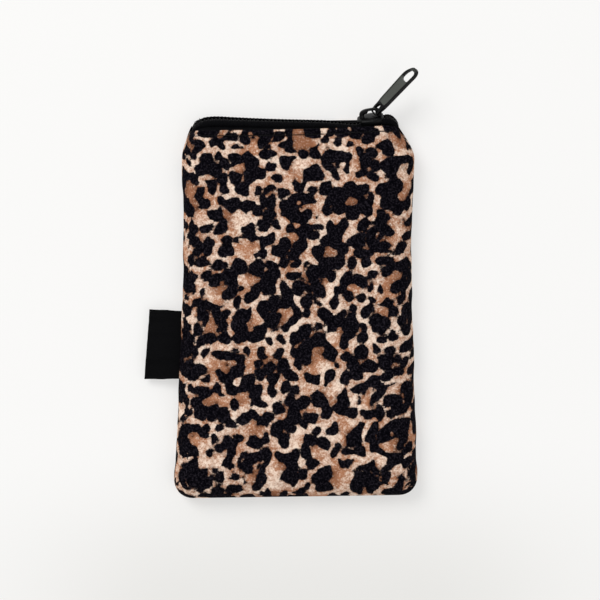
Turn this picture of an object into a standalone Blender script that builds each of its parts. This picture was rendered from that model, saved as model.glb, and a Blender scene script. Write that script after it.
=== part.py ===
"""Soft padded glasses case: a zipped pouch lying on its back.

The frame's origin is the middle of the flat back. +X runs along the zip towards its closed end, +Y from the
bottom of the pouch to the zip, and +Z up out of the front panel. Sizes are in metres and angles in degrees.
"""

import math

import bmesh
import bpy
from mathutils import Matrix, Vector

# Pouch outline
POUCH_LENGTH = 0.166
BOTTOM_WIDTH = 0.109
WAIST_WIDTH = 0.1027
SHOULDER_WIDTH = 0.1044
MOUTH_WIDTH = 0.094
FLARE_RISE = 0.010
WAIST_DROP = 0.048
SHOULDER_DROP = 0.015
CORNER_RADIUS = 0.011

# Pouch thickness and edges
BODY_THICKNESS = 0.0150
FRONT_CROWN = 0.0010
SEAM_HEIGHT = 0.0050
MOUTH_SEAM_RISE = 0.0020
MOUTH_LIFT = 0.0010
MOUTH_TAPER = 0.030
FRONT_ROUNDING = 0.014
BACK_ROUNDING = 0.006
MOUTH_ROUNDING = 0.006
SEAM_BAND = 0.0006
BACK_RISE = 0.0023

# Walls
OUTER_FABRIC = 0.0008
FOAM = 0.0018
LINING = 0.0004
CLEARANCE = 0.0003
FOAM_DROP = 0.008
LINING_DROP = 0.0035

# Topstitching
STITCH_DROP = 0.0027
STITCH_LENGTH = 0.0026
STITCH_PITCH = 0.0033
THREAD = 0.0004

# Zip
ZIP_TILT = 25.0
CHAIN_OUT = 0.0018
COIL_WIDTH = 0.0060
COIL_HEIGHT = 0.0022
COIL_LOW = -0.0007
COIL_PITCH = 0.0016
COIL_SPINE = 0.0007
CHAIN_SLIT = 0.0010
TAPE = 0.0004
TAPE_BEND = 0.0006
LIP_GAP = 0.00045
ZIP_END_GAP = 0.0025

# Slider
SLIDER_LENGTH = 0.012
SLIDER_TAPER = 0.0010
SLIDER_STOP = 0.0061
PLATE = 0.0009
FLANGE = 0.0009
POST_LENGTH = 0.0035
POST_WIDTH = 0.0004
SLIDER_CORNER = 0.0015
SLIDER_PLAY = 0.0004
MOUTH_PLAY = 0.0024

# Bridge over the slider
BRIDGE_LENGTH = 0.0102
BRIDGE_WIDTH = 0.0014
BRIDGE_STRAP = 0.0008
BRIDGE_SHIFT = 0.0003

# Pull tab
PULL_REACH = 0.0280
PULL_NECK_WIDTH = 0.0048
PULL_HEAD_WIDTH = 0.0058
PULL_THICKNESS = 0.0020
PULL_RING = 0.0007
PULL_NECK_CORNER = 0.0013
PULL_PLAY = 0.00025
PULL_EYE_WIDTH = 0.0034
PULL_EYE_LENGTH = 0.0037
PULL_RIM = 0.0008
PULL_RECESS = 0.0004
PULL_WINDOW_LENGTH = 0.0040
PULL_WINDOW_DROP = 0.0022
PULL_HINGE_SHIFT = 0.0012
PULL_HEADING = 46.7
PULL_ELEVATION = 15.0
PULL_TWIST = 39.7

# Side label
LABEL_WIDTH = 0.0305
LABEL_REACH = 0.0145
LABEL_RIBBON = 0.00035
LABEL_TOP_Y = 0.0010

# End stitches
BARTACK_LENGTH = 0.0012
BARTACK_HEIGHT = 0.0004

# How finely the soft walls are divided
ARC_STEPS = 3
BODY_ROWS = 8
MIDDLE_COLUMNS = 6
COLUMNS = 2 * ARC_STEPS + MIDDLE_COLUMNS

# Heights and places that follow from the sizes above
MOUTH_Y = POUCH_LENGTH / 2
SLIDER_WIDTH = COIL_WIDTH + 2 * (SLIDER_PLAY + FLANGE)
SLIDER_REST_X = MOUTH_WIDTH / 2 - SLIDER_STOP - SLIDER_LENGTH / 2
LIP_HALF_LENGTH = SLIDER_REST_X - SLIDER_LENGTH / 2 - 3 * CLEARANCE
TILT = math.radians(ZIP_TILT)
ACROSS = Vector((0, math.sin(TILT), -math.cos(TILT)))
OUTWARD = Vector((0, math.cos(TILT), math.sin(TILT)))
COIL_TOP = COIL_LOW + COIL_HEIGHT
TAPE_LEVEL = COIL_LOW - CLEARANCE - TAPE / 2
CAVITY_LOW = TAPE_LEVEL - TAPE / 2 - SLIDER_PLAY
CAVITY_TOP = COIL_TOP + SLIDER_PLAY
SLIDER_LOW = CAVITY_LOW - PLATE
SLIDER_TOP = CAVITY_TOP + PLATE
MARGIN_DEPTH = OUTER_FABRIC + CLEARANCE + TAPE / 2
CHAIN_Y = MOUTH_Y + CHAIN_OUT
CHAIN_Z = (
    MOUTH_LIFT
    + MARGIN_DEPTH
    + TAPE / 2
    + SLIDER_PLAY
    + SLIDER_WIDTH / 2 * math.cos(TILT)
    - SLIDER_LOW * math.sin(TILT)
)
MOUTH_FRONT = (
    CHAIN_Z
    + SLIDER_WIDTH / 2 * math.cos(TILT)
    + SLIDER_LOW * math.sin(TILT)
    + MOUTH_PLAY
    + TAPE / 2
    + MARGIN_DEPTH
)
BRIDGE_FOOT = SLIDER_TOP + CLEARANCE

# The pull at rest: the way from its hinge to its tip, the line of its end bar, and its face
HEADING = math.radians(PULL_HEADING)
ELEVATION = math.radians(PULL_ELEVATION)
TWIST = math.radians(PULL_TWIST)
LEVEL_SIDE = Vector((math.sin(HEADING), -math.cos(HEADING), 0))
PULL_TOWARDS = Vector((math.cos(HEADING), math.sin(HEADING), math.tan(ELEVATION))).normalized()
PULL_BAR = LEVEL_SIDE * math.cos(TWIST) + LEVEL_SIDE.cross(PULL_TOWARDS) * math.sin(TWIST)
PULL_FACE = PULL_BAR.cross(PULL_TOWARDS)

# Room for the slanting end bar as it swings round the bridge
BAR_ALONG = abs(PULL_BAR.dot(ACROSS))
BAR_SLANT = math.sqrt(1 - BAR_ALONG ** 2)
BAR_CORNER = PULL_RING / math.sqrt(2)
BAR_SWEEP = (PULL_NECK_WIDTH / 2 - PULL_NECK_CORNER) * BAR_SLANT
STRAP_SWEEP = BRIDGE_WIDTH / 2 * BAR_SLANT / BAR_ALONG
PULL_HINGE_LEVEL = SLIDER_TOP + PULL_PLAY + BAR_CORNER + BAR_SWEEP
BRIDGE_WINDOW = PULL_HINGE_LEVEL + BAR_CORNER + STRAP_SWEEP + 2 * PULL_PLAY - BRIDGE_FOOT

# Colours of the parts: red, green, blue, roughness, metallic
FINISHES = {
    "print_fabric": (0.45, 0.28, 0.17, 0.85, 0.0),
    "foam": (0.75, 0.72, 0.66, 0.95, 0.0),
    "lining": (0.03, 0.03, 0.035, 0.80, 0.0),
    "thread": (0.02, 0.02, 0.022, 0.70, 0.0),
    "zip_tape": (0.012, 0.012, 0.014, 0.85, 0.0),
    "zip_coil": (0.015, 0.015, 0.017, 0.45, 0.0),
    "slider_paint": (0.02, 0.02, 0.022, 0.35, 0.6),
    "ribbon": (0.012, 0.012, 0.013, 0.55, 0.0),
}


def clear_scene():
    for old in list(bpy.data.objects):
        bpy.data.objects.remove(old, do_unlink=True)


def new_collection(name):
    collection = bpy.data.collections.new(name)
    bpy.context.scene.collection.children.link(collection)
    return collection


def new_material(name, finish):
    red, green, blue, roughness, metallic = FINISHES[finish]
    material = bpy.data.materials.new(name)
    material.use_nodes = True
    shader = material.node_tree.nodes["Principled BSDF"]
    shader.inputs["Base Color"].default_value = (red, green, blue, 1)
    shader.inputs["Roughness"].default_value = roughness
    shader.inputs["Metallic"].default_value = metallic
    return material


def add_object(name, mesh, finish, place=Matrix.Identity(4)):
    item = bpy.data.objects.new(name, mesh)
    mesh.materials.clear()
    mesh.materials.append(new_material(name, finish))
    item.matrix_world = place
    pouch_parts.objects.link(item)
    return item


def add_pivot(name, place):
    """An empty on a joint's axis."""
    pivot = bpy.data.objects.new(name, None)
    pivot.empty_display_size = 0.01
    pivot.matrix_world = place
    pouch_parts.objects.link(pivot)
    bpy.context.view_layer.update()
    return pivot


def hang_on(pivot, *items):
    bpy.context.view_layer.update()
    for item in items:
        place = item.matrix_world.copy()
        item.parent = pivot
        item.matrix_parent_inverse = pivot.matrix_world.inverted()
        item.matrix_world = place


def smooth(value):
    value = min(max(value, 0.0), 1.0)
    return value * value * (3 - 2 * value)


def mix(first, second, share):
    return first + (second - first) * share


def mouth_share(y):
    """0 in the body of the pouch, growing to 1 at the zip."""
    return smooth((y - MOUTH_Y + MOUTH_TAPER) / MOUTH_TAPER)


def half_width(y):
    """Half the distance between the side seams."""
    widest = FLARE_RISE - MOUTH_Y
    waist = MOUTH_Y - WAIST_DROP
    shoulder = MOUTH_Y - SHOULDER_DROP
    if y > shoulder:
        drawn_in = min((y - shoulder) / SHOULDER_DROP, 1.0)
        return mix(MOUTH_WIDTH, SHOULDER_WIDTH, math.cos(drawn_in * math.pi / 2)) / 2
    if y > waist:
        return mix(WAIST_WIDTH, SHOULDER_WIDTH, smooth((y - waist) / (shoulder - waist))) / 2
    return mix(BOTTOM_WIDTH, WAIST_WIDTH, smooth((y - widest) / (waist - widest))) / 2


def seam_height(y):
    return SEAM_HEIGHT + MOUTH_SEAM_RISE * mouth_share(y)


def flat_height(side, y):
    """Height of the outer face inside its rounded edge; side is 1 in front and -1 at the back."""
    if side > 0:
        return mix(BODY_THICKNESS, MOUTH_FRONT, mouth_share(y))
    return MOUTH_LIFT * mouth_share(y)


def edge_rounding(side, y):
    plain = FRONT_ROUNDING if side > 0 else BACK_ROUNDING
    return mix(plain, MOUTH_ROUNDING, mouth_share(y))


def crown(side, x, y):
    if side < 0:
        return 0.0
    across = 1 - min(abs(x) / half_width(y), 1.0) ** 2
    return FRONT_CROWN * across * (1 - mouth_share(y)) ** 2


def outer_face(side, x, y, inward=0.0):
    """Height of the outer face at a point near the mouth; inward moves the rounded edge in from the seam."""
    rounding = edge_rounding(side, y)
    depth = half_width(y) - abs(x) - inward
    lean = 1 - min(max(depth, 0.0) / rounding, 1.0)
    share = math.sqrt(1 - lean * lean)
    height = mix(seam_height(y), flat_height(side, y), share)
    return height + crown(side, x, y) * share


def rings(side, y, inset):
    """Insets and share of the full height of a wall layer's rings, from its seam band in to its flat."""
    rounding = edge_rounding(side, y) - inset
    height = abs(flat_height(side, y) - seam_height(y)) - inset - CLEARANCE / 2
    band = SEAM_BAND / height
    found = []
    for step in range(ARC_STEPS + 1):
        angle = math.pi / 2 * step / ARC_STEPS
        found.append((rounding * (1 - math.cos(angle)), band + (1 - band) * math.sin(angle)))
    return found


def round_corner(from_side, from_bottom, radius, span):
    """Bends the square rings of a grid round a bottom corner, keeping each ring's inset."""
    near = min(from_side, from_bottom)
    far = max(from_side, from_bottom)
    if far >= span:
        return from_side, from_bottom
    radius = max(radius - near, 0.0)
    arc = math.pi / 4 * radius
    along = (arc + span - near - radius) * (far - near) / (span - near)
    if along < arc:
        turn = math.pi / 4 - along / radius
        short = near + radius * (1 - math.cos(turn))
        long = near + radius * (1 - math.sin(turn))
    else:
        short = near
        long = near + radius + along - arc
    return (short, long) if from_side <= from_bottom else (long, short)


def back_edge_rise(side, x, y):
    """The back panel reaches further over the zip's fold than the front one."""
    if side > 0:
        return 0.0
    bow = 1 - min(abs(x) / half_width(y), 1.0) ** 4
    return BACK_RISE * bow * mouth_share(y) ** 2


def seam_point(side, y):
    """Height of a wall's edge, just clear of the other wall's."""
    return seam_height(y) + side * CLEARANCE / 2


def layer_rows(side, inset, top_rows):
    """How far above the bottom edge each row of a wall layer's grid lies, up to its top edge."""
    low = [ring[0] for ring in rings(side, -MOUTH_Y, inset)]
    foam_top = POUCH_LENGTH - FOAM_DROP - inset
    body = [mix(low[-1], foam_top, row / BODY_ROWS) for row in range(1, BODY_ROWS + 1)]
    return low + body + [top - inset for top in top_rows]


def layer_point(side, inset, mouth_inset, column, row, rows):
    """Where a wall layer's grid point lies on the pouch."""
    bottom_rings = rings(side, -MOUTH_Y, inset)
    side_rings = rings(side, inset - MOUTH_Y + rows[row], inset)
    from_edge = min(column, COLUMNS - column)
    from_bottom = rows[row]
    if from_edge <= ARC_STEPS:
        from_side = side_rings[from_edge][0]
    else:
        share = (from_edge - ARC_STEPS) / (COLUMNS / 2 - ARC_STEPS)
        middle = half_width(inset - MOUTH_Y + from_bottom) - inset
        from_side = mix(side_rings[ARC_STEPS][0], middle, share)
    ring = min(from_edge, row, ARC_STEPS)
    share = side_rings[ring][1] if from_edge <= row else bottom_rings[ring][1]
    span = max(bottom_rings[ARC_STEPS][0], CORNER_RADIUS) + SEAM_BAND
    from_side, from_bottom = round_corner(from_side, from_bottom, CORNER_RADIUS - inset, span)
    y = inset - MOUTH_Y + from_bottom
    x = (half_width(y) - inset - from_side) * math.copysign(1, column - COLUMNS / 2)
    if 2 * column == COLUMNS:
        x = 0.0
    turned = smooth((y - MOUTH_Y + FOAM_DROP) / (FOAM_DROP - LINING_DROP))
    depth = mix(inset, mouth_inset, turned)
    z = mix(seam_point(side, y), flat_height(side, y) - side * depth, share) + crown(side, x, y) * share
    return Vector((x, y + back_edge_rise(side, x, y), z))


def layer_sheet(side, inset, mouth_inset, top_rows):
    """The outer surface of a wall layer: a grid bent round the edges, ending in an upright seam band."""
    rows = layer_rows(side, inset, top_rows)
    last_row = len(rows) - 1
    sheet = bmesh.new()
    bmesh.ops.create_grid(sheet, x_segments=COLUMNS, y_segments=last_row, size=0.5)
    place_in_grid = {}
    for vertex in sheet.verts:
        column = round((vertex.co.x + 0.5) * COLUMNS)
        row = round((vertex.co.y + 0.5) * last_row)
        place_in_grid[column, row] = vertex
    for (column, row), vertex in place_in_grid.items():
        vertex.co = layer_point(side, inset, mouth_inset, column, row, rows)
    for ring in range(ARC_STEPS):
        for column, step in ((ring, 1), (COLUMNS - ring, -1)):
            crease = [place_in_grid[column, ring], place_in_grid[column + step, ring + 1]]
            bmesh.ops.connect_verts(sheet, verts=crease)
    top_edge = {place_in_grid[column, last_row] for column in range(COLUMNS + 1)}
    seams = [edge for edge in sheet.edges if edge.is_boundary and not top_edge.issuperset(edge.verts)]
    band = bmesh.ops.extrude_edge_only(sheet, edges=seams)
    for vertex in band["geom"]:
        if isinstance(vertex, bmesh.types.BMVert):
            vertex.co.z = seam_point(side, vertex.co.y - back_edge_rise(side, vertex.co.x, vertex.co.y))
    bmesh.ops.recalc_face_normals(sheet, faces=sheet.faces)
    if sum(face.normal.z for face in sheet.faces) * side < 0:
        bmesh.ops.reverse_faces(sheet, faces=sheet.faces)
    return sheet


def wall_layer(name, side, inset, mouth_inset, thickness, top_rows, finish):
    """One layer of a padded wall: an open sheet given its thickness inwards."""
    sheet = layer_sheet(side, inset, mouth_inset, top_rows)
    mesh = bpy.data.meshes.new(name)
    sheet.to_mesh(mesh)
    sheet.free()
    mesh.shade_smooth()
    layer = add_object(name, mesh, finish)
    solidify = layer.modifiers.new("thickness", "SOLIDIFY")
    solidify.thickness = thickness
    solidify.offset = -1
    return layer


def build_walls():
    outer_rows = [POUCH_LENGTH - FOAM_DROP / 2, POUCH_LENGTH]
    lining_rows = [
        POUCH_LENGTH - mix(FOAM_DROP, LINING_DROP, 0.5),
        POUCH_LENGTH - LINING_DROP,
    ]
    foam_inset = OUTER_FABRIC + CLEARANCE
    lining_inset = foam_inset + FOAM + 2 * CLEARANCE
    tape_inset = MARGIN_DEPTH + TAPE / 2 + CLEARANCE
    for side, word in ((1, "front"), (-1, "back")):
        wall_layer("outer_" + word + "_panel", side, 0.0, 0.0, OUTER_FABRIC, outer_rows, "print_fabric")
        wall_layer(word + "_foam", side, foam_inset, foam_inset, FOAM, [], "foam")
        wall_layer(word + "_lining", side, lining_inset, tape_inset, LINING, lining_rows, "lining")


def chain_point(across, out):
    """A point of the zip's cross-section: across runs to the back coil, out to the coils' outer face."""
    return Vector((0, CHAIN_Y, CHAIN_Z)) + ACROSS * across + OUTWARD * out


def margin_height(side, x, y):
    return outer_face(side, x, y, inward=SEAM_BAND) - side * MARGIN_DEPTH


def tape_bend(side, x):
    """Where the plane of the coils meets the tape's sewn margin."""
    level = chain_point(0, TAPE_LEVEL)
    height = margin_height(side, x, MOUTH_Y)
    across = (height - level.z) / ACROSS.z
    return level + ACROSS * across


def margin_point(side, x, y):
    """A point of the tape's sewn margin, between the outer fabric and the lining."""
    return Vector((0, y + back_edge_rise(side, x, y), margin_height(side, x, y)))


def tape_section(side, x):
    """The fixed tape's cross-section, from its hidden edge to its edge under the coil."""
    bend = tape_bend(side, x)
    edge = chain_point(-side * CHAIN_SLIT / 2, TAPE_LEVEL)
    hidden = margin_point(side, x, MOUTH_Y - FOAM_DROP + 2 * CLEARANCE)
    half = margin_point(side, x, MOUTH_Y - FOAM_DROP / 2)
    inner = bend - Vector((0, TAPE_BEND, 0))
    outer = bend + (edge - bend).normalized() * TAPE_BEND
    middle = (inner + 2 * bend + outer) / 4
    return [hidden, half, inner, middle, outer, edge]


def tape_stations():
    """Places along the zip where the fixed tape is divided; the lip fills the middle span."""
    end = MOUTH_WIDTH / 2 - ZIP_END_GAP
    straight = MOUTH_WIDTH / 2 - MOUTH_ROUNDING
    lip = LIP_HALF_LENGTH + CLEARANCE
    right = [lip, straight, mix(straight, end, 0.5), end]
    return [-x for x in reversed(right)] + right


def sheet_from_rows(name, rows, finish, flip, notch_from=None):
    """A sheet through rows of points, given the tape's thickness; a notch is left in its middle span."""
    columns = len(rows) - 1
    strips = len(rows[0]) - 1
    sheet = bmesh.new()
    bmesh.ops.create_grid(sheet, x_segments=columns, y_segments=strips, size=0.5)
    if notch_from is not None:
        notch = []
        for face in sheet.faces:
            middle = face.calc_center_median()
            if abs(middle.x) < 0.5 / columns and (middle.y + 0.5) * strips > notch_from:
                notch.append(face)
        bmesh.ops.delete(sheet, geom=notch, context="FACES")
    for vertex in sheet.verts:
        i = round((vertex.co.x + 0.5) * columns)
        j = round((vertex.co.y + 0.5) * strips)
        vertex.co = rows[i][j]
    if flip:
        bmesh.ops.reverse_faces(sheet, faces=sheet.faces)
    mesh = bpy.data.meshes.new(name)
    sheet.to_mesh(mesh)
    sheet.free()
    item = add_object(name, mesh, finish)
    solidify = item.modifiers.new("thickness", "SOLIDIFY")
    solidify.thickness = TAPE
    solidify.offset = 0
    return item


def fixed_tape(side, word):
    """The sewn margin along the whole mouth, with the zip's two fixed ends standing up from it."""
    rows = []
    for x in tape_stations():
        rows.append([Vector((x, point.y, point.z)) for point in tape_section(side, x)])
    return sheet_from_rows(word + "_tape", rows, "zip_tape", side < 0, notch_from=2)


def lip_tape(side, word):
    """The tape between the slider's stops, from the sewn edge that it folds on to its edge under the coil."""
    bend = tape_bend(side, 0)
    edge = chain_point(-side * CHAIN_SLIT / 2, TAPE_LEVEL)
    start = bend + (edge - bend).normalized() * LIP_GAP
    rows = []
    for x in (-LIP_HALF_LENGTH, LIP_HALF_LENGTH):
        rows.append([Vector((x, point.y, point.z)) for point in (start, edge)])
    tape = sheet_from_rows(word + "_lip_tape", rows, "zip_tape", side < 0)
    return tape, bend


def flat_mesh(name, loops, thickness):
    """A mesh from a flat outline, with any holes, given a thickness about its own plane."""
    curve = bpy.data.curves.new(name, "CURVE")
    curve.dimensions = "2D"
    curve.fill_mode = "BOTH"
    curve.extrude = thickness / 2
    for loop in loops:
        spline = curve.splines.new("POLY")
        spline.points.add(len(loop) - 1)
        for point, (x, y) in zip(spline.points, loop):
            point.co = (x, y, 0, 1)
        spline.use_cyclic_u = True
    guide = bpy.data.objects.new(name + "_outline", curve)
    bpy.context.scene.collection.objects.link(guide)
    bpy.context.view_layer.update()
    evaluated = guide.evaluated_get(bpy.context.evaluated_depsgraph_get())
    mesh = bpy.data.meshes.new_from_object(evaluated)
    mesh.name = name
    bpy.data.objects.remove(guide, do_unlink=True)
    solid = bmesh.new()
    solid.from_mesh(mesh)
    bmesh.ops.remove_doubles(solid, verts=solid.verts, dist=0.000001)
    bmesh.ops.recalc_face_normals(solid, faces=solid.faces)
    solid.to_mesh(mesh)
    solid.free()
    return mesh


def rectangle(x_low, x_high, y_low, y_high):
    return [(x_low, y_low), (x_high, y_low), (x_high, y_high), (x_low, y_high)]


def rounded(points, radius, steps=3):
    """A convex outline, listed anticlockwise, with each corner turned into an arc."""
    found = []
    for index, corner in enumerate(points):
        here = Vector(corner)
        before = (Vector(points[index - 1]) - here).normalized()
        after = (Vector(points[(index + 1) % len(points)]) - here).normalized()
        half_angle = before.angle(after) / 2
        centre = here + (before + after).normalized() * radius / math.sin(half_angle)
        start = here + before * radius / math.tan(half_angle) - centre
        first = math.atan2(start.y, start.x)
        for step in range(steps + 1):
            angle = first + (math.pi - 2 * half_angle) * step / steps
            found.append((centre.x + radius * math.cos(angle), centre.y + radius * math.sin(angle)))
    return found


def zip_frame(x):
    """Local X along the zip, Y across it to the back coil and Z out of it."""
    place = Matrix.Identity(4)
    for row in range(3):
        place[row][0] = (1.0, 0.0, 0.0)[row]
        place[row][1] = ACROSS[row]
        place[row][2] = OUTWARD[row]
        place[row][3] = (x, CHAIN_Y, CHAIN_Z)[row]
    return place


def comb(x_low, x_high, back, root, tip, tooth, pitch, shift):
    """An outline along X with a straight back, and teeth that reach from root to tip."""
    count = int((x_high - x_low - tooth - shift) / pitch) + 1
    points = [(x_low, back), (x_low, root)]
    for index in range(count):
        start = x_low + shift + index * pitch
        points += [(start, root), (start, tip), (start + tooth, tip), (start + tooth, root)]
    points += [(x_high, root), (x_high, back)]
    return points


def coil_piece(name, x_low, x_high, side):
    """Half of the zip's coil as a comb; side 1 is the front coil, whose teeth point to the back."""
    outer = COIL_WIDTH / 2
    root = outer - COIL_SPINE
    tip = CHAIN_SLIT / 2
    shift = CLEARANCE if side > 0 else CLEARANCE + COIL_PITCH / 4
    outline = comb(x_low, x_high, -side * outer, -side * root, -side * tip, COIL_PITCH / 2, COIL_PITCH, shift)
    mesh = flat_mesh(name, [outline], COIL_HEIGHT)
    mesh.transform(Matrix.Translation((0, 0, COIL_LOW + COIL_HEIGHT / 2)))
    return add_object(name, mesh, "zip_coil", zip_frame(0))


def build_zip():
    end = MOUTH_WIDTH / 2 - ZIP_END_GAP - SEAM_BAND
    lip = LIP_HALF_LENGTH
    for side, word in ((1, "front"), (-1, "back")):
        fixed_tape(side, word)
        tape, bend = lip_tape(side, word)
        coil = coil_piece(word + "_lip_coil", -lip, lip, side)
        coil_piece(word + "_coil_left", -end, -lip - CLEARANCE, side)
        coil_piece(word + "_coil_right", lip + CLEARANCE, end, side)
        hinge = add_pivot(word + "_lip_hinge", Matrix.Translation(bend))
        hang_on(hinge, tape, coil)


def bartack(name, x):
    """The stitches across both coils where the zip ends in a side seam."""
    mesh = flat_mesh(
        name,
        [rectangle(-BARTACK_LENGTH / 2, BARTACK_LENGTH / 2, -COIL_WIDTH / 2, COIL_WIDTH / 2)],
        BARTACK_HEIGHT,
    )
    place = zip_frame(x) @ Matrix.Translation((0, 0, COIL_TOP + CLEARANCE + BARTACK_HEIGHT / 2))
    return add_object(name, mesh, "thread", place)


def topstitch(side, word):
    """The row of stitches just under the mouth: one thread that dips between its stitches."""
    reach = MOUTH_WIDTH / 2 - MOUTH_ROUNDING
    y = MOUTH_Y - STITCH_DROP
    low = outer_face(side, 0, y) + side * CLEARANCE
    dip = low + side * THREAD / 3
    top = low + side * THREAD
    gap = STITCH_PITCH - STITCH_LENGTH
    outline = comb(-reach, reach, low, dip, top, STITCH_LENGTH, STITCH_PITCH, gap)
    mesh = flat_mesh(word + "_topstitch", [outline], THREAD)
    upright = Matrix.Rotation(math.pi / 2, 4, "X")
    place = Matrix.Translation((0, y + back_edge_rise(side, 0, y), 0)) @ upright
    return add_object(word + "_topstitch", mesh, "thread", place)


def side_label():
    """A ribbon folded in two, caught by its ends in the left seam and square to it."""
    top = LABEL_TOP_Y
    low = LABEL_TOP_Y - LABEL_WIDTH
    y = (top + low) / 2
    lean = math.atan2(half_width(low) - half_width(top), LABEL_WIDTH)
    fold = LABEL_RIBBON + CLEARANCE / 2
    tip = fold - LABEL_REACH
    outer = []
    inner = []
    for step in range(7):
        angle = math.pi / 2 + math.pi * step / 6
        outer.append((tip + fold * math.cos(angle), fold * math.sin(angle)))
        inner.append((tip + CLEARANCE / 2 * math.cos(angle), CLEARANCE / 2 * math.sin(angle)))
    ribbon = [(0, fold)] + outer + [(0, -fold), (0, -CLEARANCE / 2)]
    ribbon += list(reversed(inner)) + [(0, CLEARANCE / 2)]
    mesh = flat_mesh("side_label", [ribbon], LABEL_WIDTH)
    root = Matrix.Translation((-half_width(y) - 1.5 * CLEARANCE, y, seam_height(y)))
    place = root @ Matrix.Rotation(-lean, 4, "Z") @ Matrix.Rotation(math.pi / 2, 4, "X")
    return add_object("side_label", mesh, "ribbon", place)


def cutter(name, loops, low, high, place):
    mesh = flat_mesh(name, loops, high - low)
    mesh.transform(Matrix.Translation((0, 0, (low + high) / 2)))
    item = bpy.data.objects.new(name, mesh)
    item.matrix_world = place
    item.hide_render = True
    item.display_type = "WIRE"
    cutting_shapes.objects.link(item)
    return item


def cut(item, tool, operation="DIFFERENCE"):
    boolean = item.modifiers.new(tool.name, "BOOLEAN")
    boolean.object = tool
    boolean.operation = operation
    boolean.solver = "EXACT"


def slider_body(place):
    """Two plates joined by a thin neck, with flanges that hold the coils; the head faces the closed end."""
    half = SLIDER_LENGTH / 2
    head = SLIDER_WIDTH / 2
    tail = head - SLIDER_TAPER / 2
    outline = rounded([(-half, -tail), (half, -head), (half, head), (-half, tail)], SLIDER_CORNER)
    mesh = flat_mesh("slider_body", [outline], SLIDER_TOP - SLIDER_LOW)
    mesh.transform(Matrix.Translation((0, 0, (SLIDER_TOP + SLIDER_LOW) / 2)))
    body = add_object("slider_body", mesh, "slider_paint", place)
    post_end = half - 2 * PLATE
    post = rectangle(post_end - POST_LENGTH, post_end, -POST_WIDTH / 2, POST_WIDTH / 2)
    wide = SLIDER_LENGTH
    channel = COIL_WIDTH / 2 + SLIDER_PLAY
    coil_channel = rectangle(-wide, wide, -channel, channel)
    tape_slot = rectangle(-wide, wide, -wide, wide)
    slot_top = TAPE_LEVEL + TAPE / 2 + SLIDER_PLAY
    cut(body, cutter("coil_channel", [coil_channel, post], CAVITY_LOW, CAVITY_TOP, place))
    cut(body, cutter("tape_slot", [tape_slot, post], CAVITY_LOW, slot_top, place))
    return body


def arch(length, height):
    """Half of a squarish ring standing on its two feet, from the right foot to the left one."""
    squareness = 2 / 3
    steps = 12
    points = []
    for step in range(steps + 1):
        angle = math.pi * step / steps
        x = abs(math.cos(angle)) ** squareness * math.copysign(length / 2, math.cos(angle))
        y = abs(math.sin(angle)) ** squareness * height
        points.append((x, y))
    return points


def slider_bridge(place):
    outer = arch(BRIDGE_LENGTH, BRIDGE_WINDOW + BRIDGE_STRAP)
    inner = arch(BRIDGE_LENGTH - 2 * BRIDGE_STRAP, BRIDGE_WINDOW)
    mesh = flat_mesh("slider_bridge", [outer + list(reversed(inner))], BRIDGE_WIDTH)
    upright = Matrix.Translation((BRIDGE_SHIFT, 0, BRIDGE_FOOT)) @ Matrix.Rotation(math.pi / 2, 4, "X")
    return add_object("slider_bridge", mesh, "slider_paint", place @ upright)


def pull_frame(hinge):
    """Local X along the pull's end bar, Y from the hinge to its tip and Z out of its face."""
    place = Matrix.Identity(4)
    for row in range(3):
        place[row][0] = PULL_BAR[row]
        place[row][1] = PULL_TOWARDS[row]
        place[row][2] = PULL_FACE[row]
        place[row][3] = hinge[row]
    return place


def pull_outline(start, shrink, corner):
    """The blade from start to its round head, drawn in by shrink, with its first corners rounded."""
    neck = PULL_NECK_WIDTH / 2 - shrink
    head = PULL_HEAD_WIDTH / 2 - shrink
    centre = PULL_REACH - PULL_HEAD_WIDTH / 2
    low = start + shrink
    points = rounded([(-neck, centre), (-neck, low), (neck, low), (neck, centre)], corner)
    corner_points = len(points) // 4
    points = points[corner_points : 3 * corner_points]
    steps = 10
    for step in range(steps + 1):
        angle = math.pi * step / steps
        points.append((head * math.cos(angle), centre + head * math.sin(angle)))
    return points


def pull_tab(place):
    """A thin ring round the bridge that thickens into a blade with a sunk face and a window in its head."""
    bar = PULL_RING / 2
    eye_end = bar + PULL_EYE_LENGTH
    shoulder = eye_end + PULL_RIM
    ring = [
        pull_outline(-bar, 0.0, PULL_NECK_CORNER),
        rectangle(-PULL_EYE_WIDTH / 2, PULL_EYE_WIDTH / 2, bar, eye_end),
    ]
    window_end = PULL_REACH - PULL_WINDOW_DROP
    window_half = PULL_HEAD_WIDTH / 2 - 2 * PULL_RIM
    window = rounded(
        rectangle(-window_half, window_half, window_end - PULL_WINDOW_LENGTH, window_end),
        window_half / 2,
    )
    pull = add_object("pull_tab", flat_mesh("pull_tab", ring, PULL_RING), "slider_paint", place)
    half = PULL_THICKNESS / 2
    cut(pull, cutter("pull_blade", [pull_outline(shoulder, 0.0, PULL_RIM)], -half, half, place), "UNION")
    sunk = [pull_outline(shoulder, PULL_RIM, PULL_RIM)]
    cut(pull, cutter("pull_sunk_face", sunk, half - PULL_RECESS, PULL_THICKNESS, place))
    cut(pull, cutter("pull_window", [window], -PULL_THICKNESS, PULL_THICKNESS, place))
    return pull


def build_slider():
    place = zip_frame(SLIDER_REST_X)
    runner = add_pivot("slider_runner", place)
    body = slider_body(place)
    bridge = slider_bridge(place)
    hinge = place @ Vector((PULL_HINGE_SHIFT, 0, PULL_HINGE_LEVEL))
    pull = pull_tab(pull_frame(hinge))
    hang_on(runner, body, bridge, pull)


def build_trim():
    end = MOUTH_WIDTH / 2 - ZIP_END_GAP - SEAM_BAND - BARTACK_LENGTH
    bartack("left_bartack", -end)
    bartack("right_bartack", end)
    topstitch(1, "front")
    topstitch(-1, "back")
    side_label()


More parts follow.
